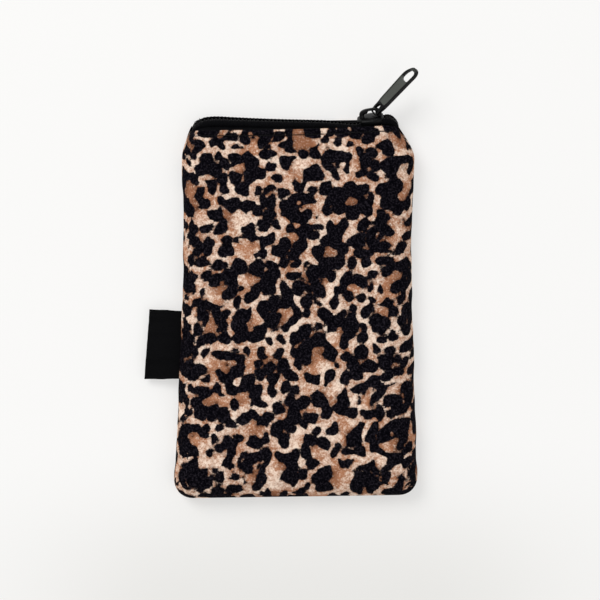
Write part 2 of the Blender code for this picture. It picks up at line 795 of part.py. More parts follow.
clear_scene()
pouch_parts = new_collection("glasses_case")
cutting_shapes = new_collection("glasses_case_cutters")
build_walls()
build_zip()
build_slider()
build_trim()
bpy.context.view_layer.update()
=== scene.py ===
import math

import bmesh
import bpy
import numpy as np
from mathutils import Matrix, Vector


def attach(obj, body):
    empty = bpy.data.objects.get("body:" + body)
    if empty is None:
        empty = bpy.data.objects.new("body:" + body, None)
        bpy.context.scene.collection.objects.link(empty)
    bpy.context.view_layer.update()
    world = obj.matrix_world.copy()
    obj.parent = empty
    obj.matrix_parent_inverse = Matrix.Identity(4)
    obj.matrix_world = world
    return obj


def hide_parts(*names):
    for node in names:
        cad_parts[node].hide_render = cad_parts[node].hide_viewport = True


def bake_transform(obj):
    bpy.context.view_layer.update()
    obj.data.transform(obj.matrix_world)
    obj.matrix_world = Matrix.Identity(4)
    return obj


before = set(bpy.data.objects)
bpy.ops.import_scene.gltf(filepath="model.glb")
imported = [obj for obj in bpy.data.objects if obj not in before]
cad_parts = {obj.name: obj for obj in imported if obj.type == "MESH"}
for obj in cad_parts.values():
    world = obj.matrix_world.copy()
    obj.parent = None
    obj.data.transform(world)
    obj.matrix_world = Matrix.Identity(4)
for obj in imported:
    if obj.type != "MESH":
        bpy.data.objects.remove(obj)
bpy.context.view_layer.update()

# A zipped glasses pouch in a spotted print, lying on its back. Everything is in metres: +X runs along the zip
# to its closed end, +Y from the bottom of the pouch to the zip, and +Z up out of the front panel.
# Words used below: across is the way from the front coil to the back one, and out is the way the coils face.

# Pouch outline and walls, as in the solids but for a sharper bottom corner
POUCH_LENGTH = 0.166
BOTTOM_WIDTH = 0.109
WAIST_WIDTH = 0.1027
SHOULDER_WIDTH = 0.1044
MOUTH_WIDTH = 0.094
FLARE_RISE = 0.010
WAIST_DROP = 0.048
SHOULDER_DROP = 0.015
CORNER_RADIUS = 0.0085
BODY_THICKNESS = 0.0150
FRONT_CROWN = 0.0010
SEAM_HEIGHT = 0.0050
MOUTH_SEAM_RISE = 0.0020
MOUTH_LIFT = 0.0010
MOUTH_TAPER = 0.030
FRONT_ROUNDING = 0.014
BACK_ROUNDING = 0.006
MOUTH_ROUNDING = 0.006
SEAM_BAND = 0.0006
BACK_RISE = 0.0023
OUTER_FABRIC = 0.0008
FOAM = 0.0018
LINING = 0.0004
CLEARANCE = 0.0003
SEWN_GAP = 0.00003
FOAM_DROP = 0.008
LINING_DROP = 0.0035
MOUTH_FRONT = 0.014594
MOUTH_Y = POUCH_LENGTH / 2

# Zip, as in the solids. Out is measured from the middle of the coils.
ZIP_TILT = math.radians(25.0)
CHAIN_Y = 0.0848
CHAIN_Z = 0.007938
COIL_WIDTH = 0.0060
COIL_PITCH = 0.0016
COIL_LOW = -0.0007
COIL_TOP = 0.0015
CHAIN_SLIT = 0.0010
TAPE = 0.0004
TAPE_LEVEL = COIL_LOW - CLEARANCE - TAPE / 2
MARGIN_DEPTH = OUTER_FABRIC + CLEARANCE + TAPE / 2
ZIP_END_GAP = 0.0025
SLIDER_REST_X = 0.0349
SLIDER_HALF = 0.0060
ACROSS = np.array((0.0, math.sin(ZIP_TILT), -math.cos(ZIP_TILT)))
OUTWARD = np.array((0.0, math.cos(ZIP_TILT), math.sin(ZIP_TILT)))
ALONG = np.array((1.0, 0.0, 0.0))

# Slider and pull, close to the solids. The pull has the photo's own outline, and the slider's levels each have
# their inset from its widest outline and their height.
SLIDER_TOP = 0.0028
SLIDER_LOW = -0.0027
CHANNEL_TOP = 0.0019
CHANNEL_LOW = -0.0018
SLOT_TOP = -0.0006
SLIDER_WIDTH = 0.0086
CHANNEL_HALF = 0.0034
POST_X = 0.0007
POST_LENGTH = 0.0035
POST_HALF = 0.00022
BRIDGE_FOOT = 0.0031
BRIDGE_WINDOW = 0.0022
BRIDGE_LENGTH = 0.0102
BRIDGE_WIDTH = 0.0020
BRIDGE_STRAP = 0.0011
BRIDGE_SHIFT = 0.0003
PULL_HINGE = Vector((0.0361, 0.088564, 0.009694))
PULL_BAR = Vector((0.446565, -0.647988, 0.617002))
PULL_TOWARDS = Vector((0.662450, 0.702974, 0.258819))
PULL_REACH = 0.02745
PULL_NECK = 0.00246
PULL_HEAD = 0.00300
PULL_HALF = 0.00112
PULL_BAR_HALF = 0.00035
PULL_CORNER = 0.0013
PULL_SHIFT = 0.00045
PULL_RIM = 0.00045
PULL_RECESS = 0.00040
EYE_HALF = 0.00138
EYE_END = 0.00500
EYE_NARROWING = 0.62
FACE_START = 0.00580
PULL_WINDOW_START = 0.0200
PULL_WINDOW_END = 0.0258
LONG_ROUNDING = 0.0068
SHORT_ROUNDING = 0.0044
SLIDER_TAPER = 0.16
SLIDER_LEVELS = ((0.00090, SLIDER_LOW), (0.00040, SLIDER_LOW + 0.0001), (0.0001, SLIDER_LOW + 0.00035),
                 (0.0, SLIDER_LOW + 0.00075), (0.0, SLIDER_TOP - 0.00065), (0.00010, SLIDER_TOP - 0.00030),
                 (0.00036, SLIDER_TOP - 0.00010), (0.00090, SLIDER_TOP + 0.00006), (0.0018, SLIDER_TOP + 0.00020),
                 (0.0030, SLIDER_TOP + 0.00028))
BRIDGE_ROOT = 0.0011
OVAL_POWER = 0.60
ARCH_POWER = 2 / 3
WIRE_POWER = 0.7
SHARP_ANGLE = math.radians(40)
PULL_EDGE = 0.00022
PULL_LEAST = 0.00002

# Topstitching, which sits higher on the lowered hem, and label as in the solids
STITCH_DROP = 0.0015
STITCH_LENGTH = 0.0026
STITCH_PITCH = 0.0033
LABEL_WIDTH = 0.0305
LABEL_RIBBON = 0.00035
LABEL_TOP_Y = 0.0010


def smooth(value):
    value = np.clip(value, 0.0, 1.0)
    return value * value * (3 - 2 * value)


def mix(first, second, share):
    return first + (second - first) * share


def mouth_share(y):
    """0 in the body of the pouch, growing to 1 at the zip."""
    return smooth((y - MOUTH_Y + MOUTH_TAPER) / MOUTH_TAPER)


def half_width(y):
    """Half the distance between the side seams."""
    widest = FLARE_RISE - MOUTH_Y
    waist = MOUTH_Y - WAIST_DROP
    shoulder = MOUTH_Y - SHOULDER_DROP
    drawn_in = np.clip((y - shoulder) / SHOULDER_DROP, 0, 1)
    top = mix(MOUTH_WIDTH, SHOULDER_WIDTH, np.cos(drawn_in * math.pi / 2))
    chest = mix(WAIST_WIDTH, SHOULDER_WIDTH, smooth((y - waist) / (shoulder - waist)))
    flare = mix(BOTTOM_WIDTH, WAIST_WIDTH, smooth((y - widest) / (waist - widest)))
    return np.where(y > shoulder, top, np.where(y > waist, chest, flare)) / 2


def seam_height(y):
    return SEAM_HEIGHT + MOUTH_SEAM_RISE * mouth_share(y)


def flat_height(side, y):
    """Height of the outer face inside its rounded edge; side is 1 in front and -1 at the back."""
    if side > 0:
        return mix(BODY_THICKNESS, MOUTH_FRONT, mouth_share(y))
    return MOUTH_LIFT * mouth_share(y)


def edge_rounding(side, y):
    plain = FRONT_ROUNDING if side > 0 else BACK_ROUNDING
    return mix(plain, MOUTH_ROUNDING, mouth_share(y))


def crown(side, x, y):
    """How far the stuffed front face rises above its flat height."""
    if side < 0:
        return 0.0 * x
    across = 1 - np.minimum(np.abs(x) / half_width(y), 1.0) ** 2
    return FRONT_CROWN * across * (1 - mouth_share(y)) ** 2


def back_edge_rise(side, x, y):
    """The back panel reaches further over the zip's fold than the front one."""
    if side > 0:
        return 0.0 * x
    bow = 1 - np.minimum(np.abs(x) / half_width(y), 1.0) ** 4
    return BACK_RISE * bow * mouth_share(y) ** 2


def outer_face(side, x, y, inward=0.0):
    """Height of the outer face at a point near the mouth."""
    depth = half_width(y) - np.abs(x) - inward
    lean = 1 - np.clip(depth / edge_rounding(side, y), 0, 1)
    share = np.sqrt(1 - lean * lean)
    return mix(seam_height(y), flat_height(side, y), share) + crown(side, x, y) * share


def round_corner(from_side, from_bottom, radius, span):
    """Bends the square rings of a grid round a bottom corner, keeping each ring's inset."""
    near = np.minimum(from_side, from_bottom)
    far = np.maximum(from_side, from_bottom)
    radius = np.maximum(radius - near, 1e-9)
    arc = math.pi / 4 * radius
    along = (arc + span - near - radius) * (far - near) / np.maximum(span - near, 1e-9)
    turn = math.pi / 4 - np.minimum(along, arc) / radius
    short = np.where(along < arc, near + radius * (1 - np.cos(turn)), near)
    long = np.where(along < arc, near + radius * (1 - np.sin(turn)), near + radius + along - arc)
    swap = from_side > from_bottom
    side = np.where(swap, long, short)
    bottom = np.where(swap, short, long)
    inside = far >= span
    return np.where(inside, from_side, side), np.where(inside, from_bottom, bottom)


# Smooth noise: octaves, waves in each, and what their sum is divided by
RIPPLE_OCTAVES = 3
RIPPLE_WAVES = 4
RIPPLE_HIGHEST = 4.2


def ripple(seed, *axes):
    """Smooth noise between about -1 and 1 over one or two coordinates given in wavelengths."""
    chance = np.random.default_rng(seed)
    total = 0.0
    for octave in range(RIPPLE_OCTAVES):
        for _ in range(RIPPLE_WAVES):
            turns = chance.normal(size=len(axes))
            turns *= 2.0 ** octave / max(np.linalg.norm(turns), 1e-6)
            phase = chance.uniform(0, 2 * math.pi)
            total = total + np.sin(sum(t * a for t, a in zip(turns, axes)) * 2 * math.pi + phase) / 2.0 ** octave
    return total / RIPPLE_HIGHEST


# How the soft walls settle: a slight lean, uneven side seams, a slack face and drawn-in corners. The edges' places
# are in millimetres along Y and the hem's along X.
LEAN = 0.0145
SIDE_START = 0.55
SEAM_WAVER = 0.00035
WAVER_LENGTH = 0.030
FACE_SLACK = 0.00030
FACE_EDGE = 0.020
HEM_PUCKER = 0.00012
HEM_PUCKER_LENGTH = 0.012
PUCKER_RISE = 0.014
PUCKER_STEP = 0.0006
PUCKER_HALF = 0.0022
BOTTOM_PUCKER = 0.00025
CREASE_START = 0.8
SLACK_LENGTHS = (0.045, 0.060)
FINE_SLACK_LENGTHS = (0.016, 0.022)
GROOVE_DEPTH = 0.00045
GROOVE_HALF = 0.0006
CORNER_CREASE = 0.0007
CORNER_FOLDS = 7
FOLDS_AWAY = 0.011
FOLDS_HALF = 0.007
EDGE_AT = np.array((-83.0, -71.0, -62.0, -48.6, -35.0, -17.0, 5.4, 23.4, 41.4, 54.9, 63.9, 70.2, 73.8, 77.4, 81.0,
                    84.0))
LEFT_EDGE = np.array((0.0, -0.3, 0.0, 0.5, 0.4, 0.2, 0.5, 0.3, 0.6, 0.4, 0.9, 1.4, 1.4, 1.4, 0.9, 0.6))
RIGHT_EDGE = np.array((0.0, -0.2, -0.1, -0.2, 0.0, 0.3, 0.5, 0.8, 1.0, 1.3, 1.5, 1.5, 1.1, 0.6, 0.2, 0.0))
HEM_AT = np.array((-47.0, -42.0, -15.0, 3.0, 21.0, 41.0, 47.0))
HEM_DROP = np.array((2.5, 2.55, 2.7, 2.7, 2.3, 1.7, 1.7))
HEM_REACH = 0.016
HEM_BAND = 0.007


def hem_drop(side, x):
    """How far the front panel's hem sits below the fold of the tape, more at the open end of the zip."""
    return eased(x * 1000, HEM_AT, HEM_DROP) / 1000 if side > 0 else 0.0 * x


def lowered(points, side):
    """A layer's points with its top edge drawn down to where the hem sits."""
    x, y = points[..., 0], points[..., 1]
    points[..., 1] = y - hem_drop(side, x) * smooth((y - MOUTH_Y + HEM_REACH) / HEM_REACH)
    return points


def eased(x, places, values):
    """A smooth curve through the values at their places."""
    slopes = np.gradient(values, places)
    k = np.clip(np.searchsorted(places, x) - 1, 0, len(places) - 2)
    width = places[k + 1] - places[k]
    t = np.clip((x - places[k]) / width, 0, 1)
    first = (2 * t ** 3 - 3 * t ** 2 + 1) * values[k] + (t ** 3 - 2 * t ** 2 + t) * width * slopes[k]
    return first + (3 * t ** 2 - 2 * t ** 3) * values[k + 1] + (t ** 3 - t ** 2) * width * slopes[k + 1]


def round_turns(count):
    """Angles once round, the first not repeated."""
    return np.linspace(0, 2 * math.pi, count + 1)[:-1]


def hump(away, width):
    """1 at the place itself, falling to 0 over a few widths."""
    return np.exp(-(away / width) ** 2)


def settled(points, side):
    """Moves a wall's points from its even shape to the slack one of a used, sewn pouch."""
    x, y, z = points[..., 0].copy(), points[..., 1].copy(), points[..., 2].copy()
    lifted = mouth_share(y)
    body = 1 - lifted
    wide = half_width(y)
    near_side = smooth((np.abs(x) / wide - SIDE_START) / (1 - SIDE_START))
    sign = np.sign(x)
    face = smooth((wide - np.abs(x)) / FACE_EDGE) * smooth((y + MOUTH_Y) / FACE_EDGE)
    waver = ripple(11, y / WAVER_LENGTH, sign * 0.7) * SEAM_WAVER * body
    step = PUCKER_STEP * smooth((-MOUTH_Y + PUCKER_RISE + 0.003 - y) / 0.006) - PUCKER_STEP / 2
    (wide_x, wide_y), (fine_x, fine_y) = SLACK_LENGTHS, FINE_SLACK_LENGTHS
    slack = ripple(23 + side, x / wide_x, y / wide_y) * FACE_SLACK * face * body
    slack = slack + ripple(31 + side, x / fine_x, y / fine_y) * FACE_SLACK * 0.4 * face
    slant = np.where(x < 0, eased(y * 1000, EDGE_AT, LEFT_EDGE), eased(y * 1000, EDGE_AT, RIGHT_EDGE)) / 1000
    moved_x = x + LEAN * y * body + near_side * (slant + sign * (waver + step * body))
    if side > 0:
        crease = hump(y + MOUTH_Y - PUCKER_RISE, PUCKER_HALF)
        crease = crease * smooth((np.abs(x) / wide - CREASE_START) / (1 - CREASE_START))
        fan = np.hypot(np.abs(x) - MOUTH_WIDTH / 2, (y - MOUTH_Y) * 0.8)
        turn = np.arctan2(MOUTH_Y - y, MOUTH_WIDTH / 2 + 0.002 - np.abs(x))
        creases = np.cos(turn * CORNER_FOLDS + sign) * hump(fan - FOLDS_AWAY, FOLDS_HALF) * CORNER_CREASE * 0.5
        bottom_pucker = hump(y + MOUTH_Y - 0.006, 0.004) * ripple(5, moved_x / 0.017) * BOTTOM_PUCKER * face
        z = z + slack - crease * CORNER_CREASE * 0.6 + creases * smooth((MOUTH_Y - y) / 0.004) + bottom_pucker
    else:
        z = z + np.abs(slack) * 0.5 * (1 - lifted) + 0.3 * slack * lifted
    return np.stack((moved_x, y, z), axis=-1)


def ring_heights(side, y, inset, turn):
    """Inset and share of the full height at each turn of a wall layer's rounded edge."""
    rounding = edge_rounding(side, y) - inset
    height = np.abs(flat_height(side, y) - seam_height(y)) - inset - CLEARANCE / 2
    band = SEAM_BAND / height
    return rounding * (1 - np.cos(turn)), np.where(turn > 0, band + (1 - band) * np.sin(turn), 0.0)


def wall_points(side, inset, mouth_inset, top, edge_steps, gap, hem_gap=None, seam_gap=CLEARANCE):
    """A wall layer's surface as rows of points about gap apart, from the bottom seam to its top edge."""
    bottom = inset - MOUTH_Y
    turns = np.linspace(0, math.pi / 2, edge_steps + 1)
    low, low_share = ring_heights(side, np.float64(-MOUTH_Y), inset, turns)
    hem = HEM_BAND if hem_gap else 0.0
    count = round((POUCH_LENGTH - hem - FRONT_ROUNDING) / gap)
    rows = np.concatenate((low, np.linspace(low[-1], top - inset - hem, count + 1)[1:]))
    if hem_gap:
        rows = np.concatenate((rows, np.linspace(rows[-1], top - inset, round(hem / hem_gap) + 1)[1:]))
    columns = 2 * edge_steps + 2 * round(WAIST_WIDTH / 2 / gap)
    column = np.arange(columns + 1)
    from_edge = np.minimum(column, columns - column)[None, :]
    row = np.arange(len(rows))[:, None]
    y = (bottom + rows)[:, None] + 0 * from_edge
    turn = np.minimum(from_edge, edge_steps) / edge_steps * math.pi / 2
    across = np.clip((from_edge - edge_steps) / (columns / 2 - edge_steps), 0, 1)
    from_side = mix(ring_heights(side, y, inset, turn)[0], half_width(y) - inset, across)
    from_bottom = rows[:, None] + 0 * from_side
    ring = np.minimum(np.minimum(from_edge, row), edge_steps)
    own_share = ring_heights(side, y, inset, ring / edge_steps * math.pi / 2)[1]
    share = np.where(from_edge <= row, own_share, low_share[ring])
    span = max(float(low[-1]), CORNER_RADIUS) + SEAM_BAND
    from_side, from_bottom = round_corner(from_side, from_bottom, CORNER_RADIUS - inset, span)
    y = bottom + from_bottom
    x = (half_width(y) - inset - from_side) * np.sign(column - columns / 2)[None, :]
    turned = smooth((y - MOUTH_Y + FOAM_DROP) / (FOAM_DROP - LINING_DROP))
    depth = mix(inset, mouth_inset, turned)
    seam = seam_height(y) + side * seam_gap / 2
    z = mix(seam, flat_height(side, y) - side * depth, share) + crown(side, x, y) * share
    return np.stack((x, y + back_edge_rise(side, x, y), z), axis=-1)


def lengths_over(points):
    """How far each point lies from the middle column and from the bottom row, measured over the surface."""
    step = np.linalg.norm(np.diff(points, axis=1), axis=2)
    along = np.concatenate((np.zeros((len(points), 1)), np.cumsum(step, axis=1)), axis=1)
    along -= along[:, [points.shape[1] // 2]]
    rise = np.linalg.norm(np.diff(points, axis=0), axis=2)
    up = np.concatenate((np.zeros((1, points.shape[1])), np.cumsum(rise, axis=0)), axis=0)
    return along, up


def in_scene(name, data):
    """A new object in the scene's own collection."""
    thing = bpy.data.objects.new(name, data)
    bpy.context.scene.collection.objects.link(thing)
    return thing


def show(mesh, material):
    """A finished piece at the origin under its mesh's name, in its material."""
    piece = in_scene(mesh.name, mesh)
    mesh.materials.clear()
    mesh.materials.append(material)
    return piece


def plain_mesh(name, holder, *helpers):
    """The mesh that the holder's modifiers make; the holder and the objects that helped it are taken away."""
    bpy.context.view_layer.update()
    evaluated = holder.evaluated_get(bpy.context.evaluated_depsgraph_get())
    mesh = bpy.data.meshes.new_from_object(evaluated)
    for item in (holder, *helpers):
        bpy.data.objects.remove(item, do_unlink=True)
    mesh.name = name
    return mesh


def points_of(mesh):
    points = np.empty(len(mesh.vertices) * 3, np.float32)
    mesh.vertices.foreach_get("co", points)
    return points.reshape(-1, 3).astype(float)


def mark(mesh, name, values):
    """Gives each of the mesh's points a value that its material reads."""
    attribute = mesh.attributes.new(name, "FLOAT", "POINT")
    attribute.data.foreach_set("value", values.astype(np.float32))


def closed_tube(name, rings, end_quads=0):
    """A closed smooth tube through rings of points. Each end has some quads across its ring, then one face."""
    count, sides = rings.shape[:2]
    here = np.arange(count * sides).reshape(count, sides)
    beside = np.roll(here, -1, axis=1)
    faces = np.stack((here[:-1], beside[:-1], beside[1:], here[1:]), axis=-1).reshape(-1, 4).tolist()
    for ring in (here[0].tolist(), here[-1][::-1].tolist()):
        for k in range(end_quads):
            faces.append((ring[k], ring[k + 1], ring[-k - 2], ring[-k - 1]))
        faces.append(ring[end_quads:sides - end_quads])
    mesh = bpy.data.meshes.new(name)
    mesh.from_pydata([tuple(point) for point in rings.reshape(-1, 3)], [], faces)
    mesh.shade_smooth()
    solid = bmesh.new()
    solid.from_mesh(mesh)
    bmesh.ops.recalc_face_normals(solid, faces=solid.faces)
    if solid.calc_volume(signed=True) < 0:
        bmesh.ops.reverse_faces(solid, faces=solid.faces)
    solid.to_mesh(mesh)
    solid.free()
    mesh.update()
    return mesh


def shell_order(outer, hem, inner):
    """Values of a shell's outer grid, its hem's rows and its inner grid, as rings that each go round one column."""
    return np.concatenate((outer, hem, inner[::-1])).swapaxes(0, 1)


def closed_shell(name, outer, inner, hem_steps=3):
    """A closed solid between two grids of points, with its top edge turned over in a round hem."""
    middle, half = (outer[-1] + inner[-1]) / 2, (outer[-1] - inner[-1]) / 2
    reach = np.linalg.norm(half, axis=1, keepdims=True)
    heading = outer[-1] - outer[-2]
    heading = heading / np.linalg.norm(heading, axis=1, keepdims=True)
    turns = np.linspace(0, math.pi, hem_steps + 2)[1:-1]
    hem = [middle + half * math.cos(turn) + heading * reach * math.sin(turn) for turn in turns]
    return closed_tube(name, shell_order(outer, hem, inner), len(outer) - 1)


def sheet_shell(name, rows, thickness):
    """A closed sheet of the given thickness round a grid of points."""
    rows = np.asarray(rows)
    normal = np.cross(np.gradient(rows, axis=1), np.gradient(rows, axis=0))
    normal /= np.maximum(np.linalg.norm(normal, axis=2, keepdims=True), 1e-12)
    return closed_shell(name, rows + normal * thickness / 2, rows - normal * thickness / 2, 1)


# Spotted print: cell and gap sizes in metres, and how often spots join, open and ring a bare middle
SPOT_CELL = 0.0062
ROSETTE_CELL = 0.0190
ROW_CLOSENESS = 0.9
CELLS_ROUND = 4
NEAREST = 7
PRINT_STEP = 0.0004
PRINT_WIDE = 0.30
PRINT_HIGH = 0.20
SPOT_GAP = 0.0007
ROSETTE_GAP = 0.0018
CORE_REACH = 0.0046
TIGHT_ROSETTE = 0.75
MERGE_CHANCE = 0.34
LOOSE_CHANCE = 0.12
BARE_CHANCE = 0.03
FILL_CHANCE = 0.72
RING_CHANCE = 0.42
ROUNDING = 1.5
FAR_OFF = 9.0
SPOT_BLUR = 1.35
WARMTH_BLUR = 2.5

# How far the print's rows bend and over what length, in metres; the open rings' sizes, in millimetres
PRINT_BEND, BEND_LENGTH = 0.0020, 0.016
PRINT_WOBBLE, WOBBLE_LENGTH = 0.0005, 0.005
RING_SLIM = (0.72, 0.95)
RING_MIDDLE = (4.3, 5.9)
RING_HALF = (1.9, 2.5)
RING_OPENING = (0.38, 0.75)
RING_PIP = (0.2, 1.25)


def chance_of(*numbers):
    """A repeatable number between 0 and 1 for each number or pair of numbers."""
    mixed = sum(number * factor for number, factor in zip(numbers, (12.9898, 78.233)))
    return np.mod(np.sin(mixed) * 43758.5453, 1.0)


def scattered(cell, seed, jitter):
    """Seeds near the middles of a staggered grid of cells that covers the print and a margin round it."""
    chance = np.random.default_rng(seed)
    columns = int(PRINT_WIDE / cell) + 2 * CELLS_ROUND
    rows = int(PRINT_HIGH / (cell * ROW_CLOSENESS)) + 2 * CELLS_ROUND
    i, j = np.meshgrid(np.arange(columns), np.arange(rows), indexing="ij")
    x = (i - CELLS_ROUND + 0.5 * (j % 2) + 0.5 + chance.uniform(-jitter, jitter, i.shape)) * cell
    y = (j - CELLS_ROUND + 0.5 + chance.uniform(-jitter, jitter, i.shape)) * cell * ROW_CLOSENESS
    return np.stack((x, y), axis=-1)


def nearest_cells(points, seeds, cell):
    """The places and numbers of the seeds round each point, nearest first."""
    j = np.floor(points[:, 1] / (cell * ROW_CLOSENESS)).astype(int) + CELLS_ROUND
    i = np.floor(points[:, 0] / cell).astype(int) + CELLS_ROUND
    found, numbers = [], []
    for step_j in (-2, -1, 0, 1, 2):
        for step_i in (-2, -1, 0, 1, 2):
            column = np.clip(i + step_i, 0, seeds.shape[0] - 1)
            row = np.clip(j + step_j, 0, seeds.shape[1] - 1)
            found.append(seeds[column, row])
            numbers.append(column * seeds.shape[1] + row)
    found = np.stack(found, axis=1)
    numbers = np.stack(numbers, axis=1)
    order = np.argsort(np.linalg.norm(found - points[:, None], axis=2), axis=1)[:, :NEAREST]
    return np.take_along_axis(found, order[..., None], axis=1), np.take_along_axis(numbers, order, axis=1)


def blurred(picture, radius):
    """The picture smoothed over a radius given in steps of its grid."""
    reach = int(3 * radius) + 1
    weights = np.exp(-0.5 * (np.arange(-reach, reach + 1) / radius) ** 2)
    weights /= weights.sum()
    for axis in (0, 1):
        padded = np.concatenate((picture.take(range(reach, 0, -1), axis), picture,
                                 picture.take(range(-2, -reach - 2, -1), axis)), axis)
        count = picture.shape[axis]
        picture = sum(w * padded.take(range(k, k + count), axis) for k, w in enumerate(weights))
    return picture


def print_grid():
    """Places all over the print, in metres, bent so that no row of spots runs straight."""
    wide = int(PRINT_WIDE / PRINT_STEP) + 1
    high = int(PRINT_HIGH / PRINT_STEP) + 1
    x, y = np.meshgrid(np.arange(wide) * PRINT_STEP, np.arange(high) * PRINT_STEP, indexing="ij")

    def bent(seed):
        bend = PRINT_BEND * ripple(seed, x / BEND_LENGTH, y / BEND_LENGTH)
        return bend + PRINT_WOBBLE * ripple(seed + 1, x / WOBBLE_LENGTH, y / WOBBLE_LENGTH)

    x = x + bent(3)
    y = y + bent(5)
    return np.stack((x.ravel(), y.ravel()), axis=1), (wide, high)


def cell_spots(points, rosettes):
    """How deep each place lies in a spot and in its rosette: spots are cells, some joined, some left bare."""
    spots = scattered(SPOT_CELL, 41, 0.28)
    centres = spots.reshape(-1, 2)
    homes, owners = nearest_cells(centres, rosettes, ROSETTE_CELL)
    owner = owners[:, 0]
    reach = np.linalg.norm(homes[:, 0] - centres, axis=1)
    size = mix(0.3, 1.4, chance_of(owner, 5.0))
    joining = np.where(size > TIGHT_ROSETTE, MERGE_CHANCE, LOOSE_CHANCE)
    bare = (reach < CORE_REACH * size) | (chance_of(np.arange(len(centres)), 2.0) < BARE_CHANCE)
    found, numbers = nearest_cells(points, spots, SPOT_CELL)
    own, own_number = found[:, 0], numbers[:, 0]
    own_distance = ((points - own) ** 2).sum(axis=1)
    dark = np.zeros(len(points))
    inside = np.full(len(points), FAR_OFF)
    hollow = np.full(len(points), -FAR_OFF)
    for k in range(1, found.shape[1]):
        other, number = found[:, k], numbers[:, k]
        apart = np.linalg.norm(other - own, axis=1)
        edge = (((points - other) ** 2).sum(axis=1) - own_distance) / (2 * apart) * 1000
        same = owner[number] == owner[own_number]
        first, second = np.minimum(number, own_number), np.maximum(number, own_number)
        pair = chance_of(first, second)
        vary = chance_of(second, first)
        spread = np.where(pair < FILL_CHANCE, mix(0.4, 1.5, vary), -0.5)
        gap = np.where(same, SPOT_GAP, ROSETTE_GAP) * 500 * mix(0.55, 1.45, vary)
        gap = np.where(bare[number] & same, -spread, gap)
        merged = same & (pair < joining[own_number]) & ~bare[number]
        joined = merged | (bare[number] & same & (spread > 0))
        dark += np.where(joined, 0.0, np.exp(-ROUNDING * (edge - gap)))
        inside = np.minimum(inside, np.where(same, FAR_OFF, edge))
        beyond = np.where(same, -FAR_OFF, -edge - 0.6)
        hollow = np.maximum(hollow, np.where(~bare[number] & same, spread - edge, beyond))
    dark = -np.log(dark + 1e-6) / ROUNDING
    return np.where(bare[own_number], hollow, dark), inside


def ringed(points, rosettes, dark):
    """Some rosettes become one thick open ring round a bare middle, with a clear gap round it."""
    home, ring = nearest_cells(points, rosettes, ROSETTE_CELL)
    home, ring = home[:, 0], ring[:, 0]
    spin = chance_of(ring, 11.0) * 2 * math.pi
    from_home = (points - home) * 1000
    u = from_home[:, 0] * np.cos(spin) + from_home[:, 1] * np.sin(spin)
    v = -from_home[:, 0] * np.sin(spin) + from_home[:, 1] * np.cos(spin)
    slim = mix(*RING_SLIM, chance_of(ring, 17.0))
    far = np.hypot(u, v / slim)
    angle = np.arctan2(v / slim, u)
    middle = mix(*RING_MIDDLE, chance_of(ring, 19.0)) * (1 + 0.10 * np.sin(3 * angle + spin * 3))
    half = mix(*RING_HALF, chance_of(ring, 23.0)) * (1 + 0.20 * np.sin(2 * angle + spin * 5))
    opening = (np.abs(angle) - mix(*RING_OPENING, chance_of(ring, 29.0))) * far
    band = half - np.abs(far - middle)
    band = -np.log(np.exp(-ROUNDING * band) + np.exp(-ROUNDING * np.clip(opening, -6, 6))) / ROUNDING
    pip = mix(*RING_PIP, chance_of(ring, 31.0)) - np.hypot(u + 0.3, v)
    band = np.maximum(band, pip)
    beyond = far - middle - half
    ring_here = chance_of(ring, 37.0) < RING_CHANCE
    return np.where(ring_here, np.where(beyond < 0.7, band, np.minimum(dark, beyond - 1.5)), dark)


def spotted_print():
    """Two pictures in millimetres: how deep each place lies inside a dark spot, and inside a rosette."""
    points, shape = print_grid()
    rosettes = scattered(ROSETTE_CELL, 43, 0.33)
    dark, inside = cell_spots(points, rosettes)
    dark = ringed(points, rosettes, dark)
    dark = blurred(np.clip(dark, -3, 2).reshape(shape), SPOT_BLUR)
    inside = blurred(np.clip(inside, 0, 6).reshape(shape), WARMTH_BLUR)
    return dark, inside


def sample(picture, x, y):
    """The picture's value at places in metres, from the four cells round each."""
    i = np.clip(x / PRINT_STEP, 0, picture.shape[0] - 1.001)
    j = np.clip(y / PRINT_STEP, 0, picture.shape[1] - 1.001)
    low_i, low_j = i.astype(int), j.astype(int)
    share_i, share_j = i - low_i, j - low_j
    near = mix(picture[low_i, low_j], picture[low_i + 1, low_j], share_i)
    far = mix(picture[low_i, low_j + 1], picture[low_i + 1, low_j + 1], share_i)
    return mix(near, far, share_j)


class Wire:
    """A socket's value in a node tree, which can be added, taken away, multiplied and divided."""

    def __init__(self, tree, socket):
        self.tree = tree
        self.socket = socket

    def math(self, operation, *others):
        return self.tree.node("ShaderNodeMath", dict(enumerate((self, *others))), operation=operation).out()

    def __add__(self, other):
        return self.math("ADD", other)

    def __sub__(self, other):
        return self.math("SUBTRACT", other)

    def __rsub__(self, other):
        return self.tree.node("ShaderNodeMath", {0: other, 1: self}, operation="SUBTRACT").out()

    def __mul__(self, other):
        return self.math("MULTIPLY", other)

    def __truediv__(self, other):
        return self.math("DIVIDE", other)

    __radd__ = __add__

    def held(self):
        """The value kept between 0 and 1."""
        return self.tree.node("ShaderNodeClamp", {"Value": self}).out()

    def step(self, low, high):
        """0 below low, 1 above high, and smooth between."""
        values = {"Value": self, "From Min": low, "From Max": high}
        return self.tree.node("ShaderNodeMapRange", values, interpolation_type="SMOOTHSTEP").out("Result")


class Made:
    """A node that has been added to a tree."""

    def __init__(self, tree, node):
        self.tree = tree
        self.node = node

    def out(self, key=0):
        sockets = self.node.outputs
        if isinstance(key, int):
            return Wire(self.tree, sockets[key])
        return Wire(self.tree, next(s for s in sockets if key in (s.identifier, s.name)))


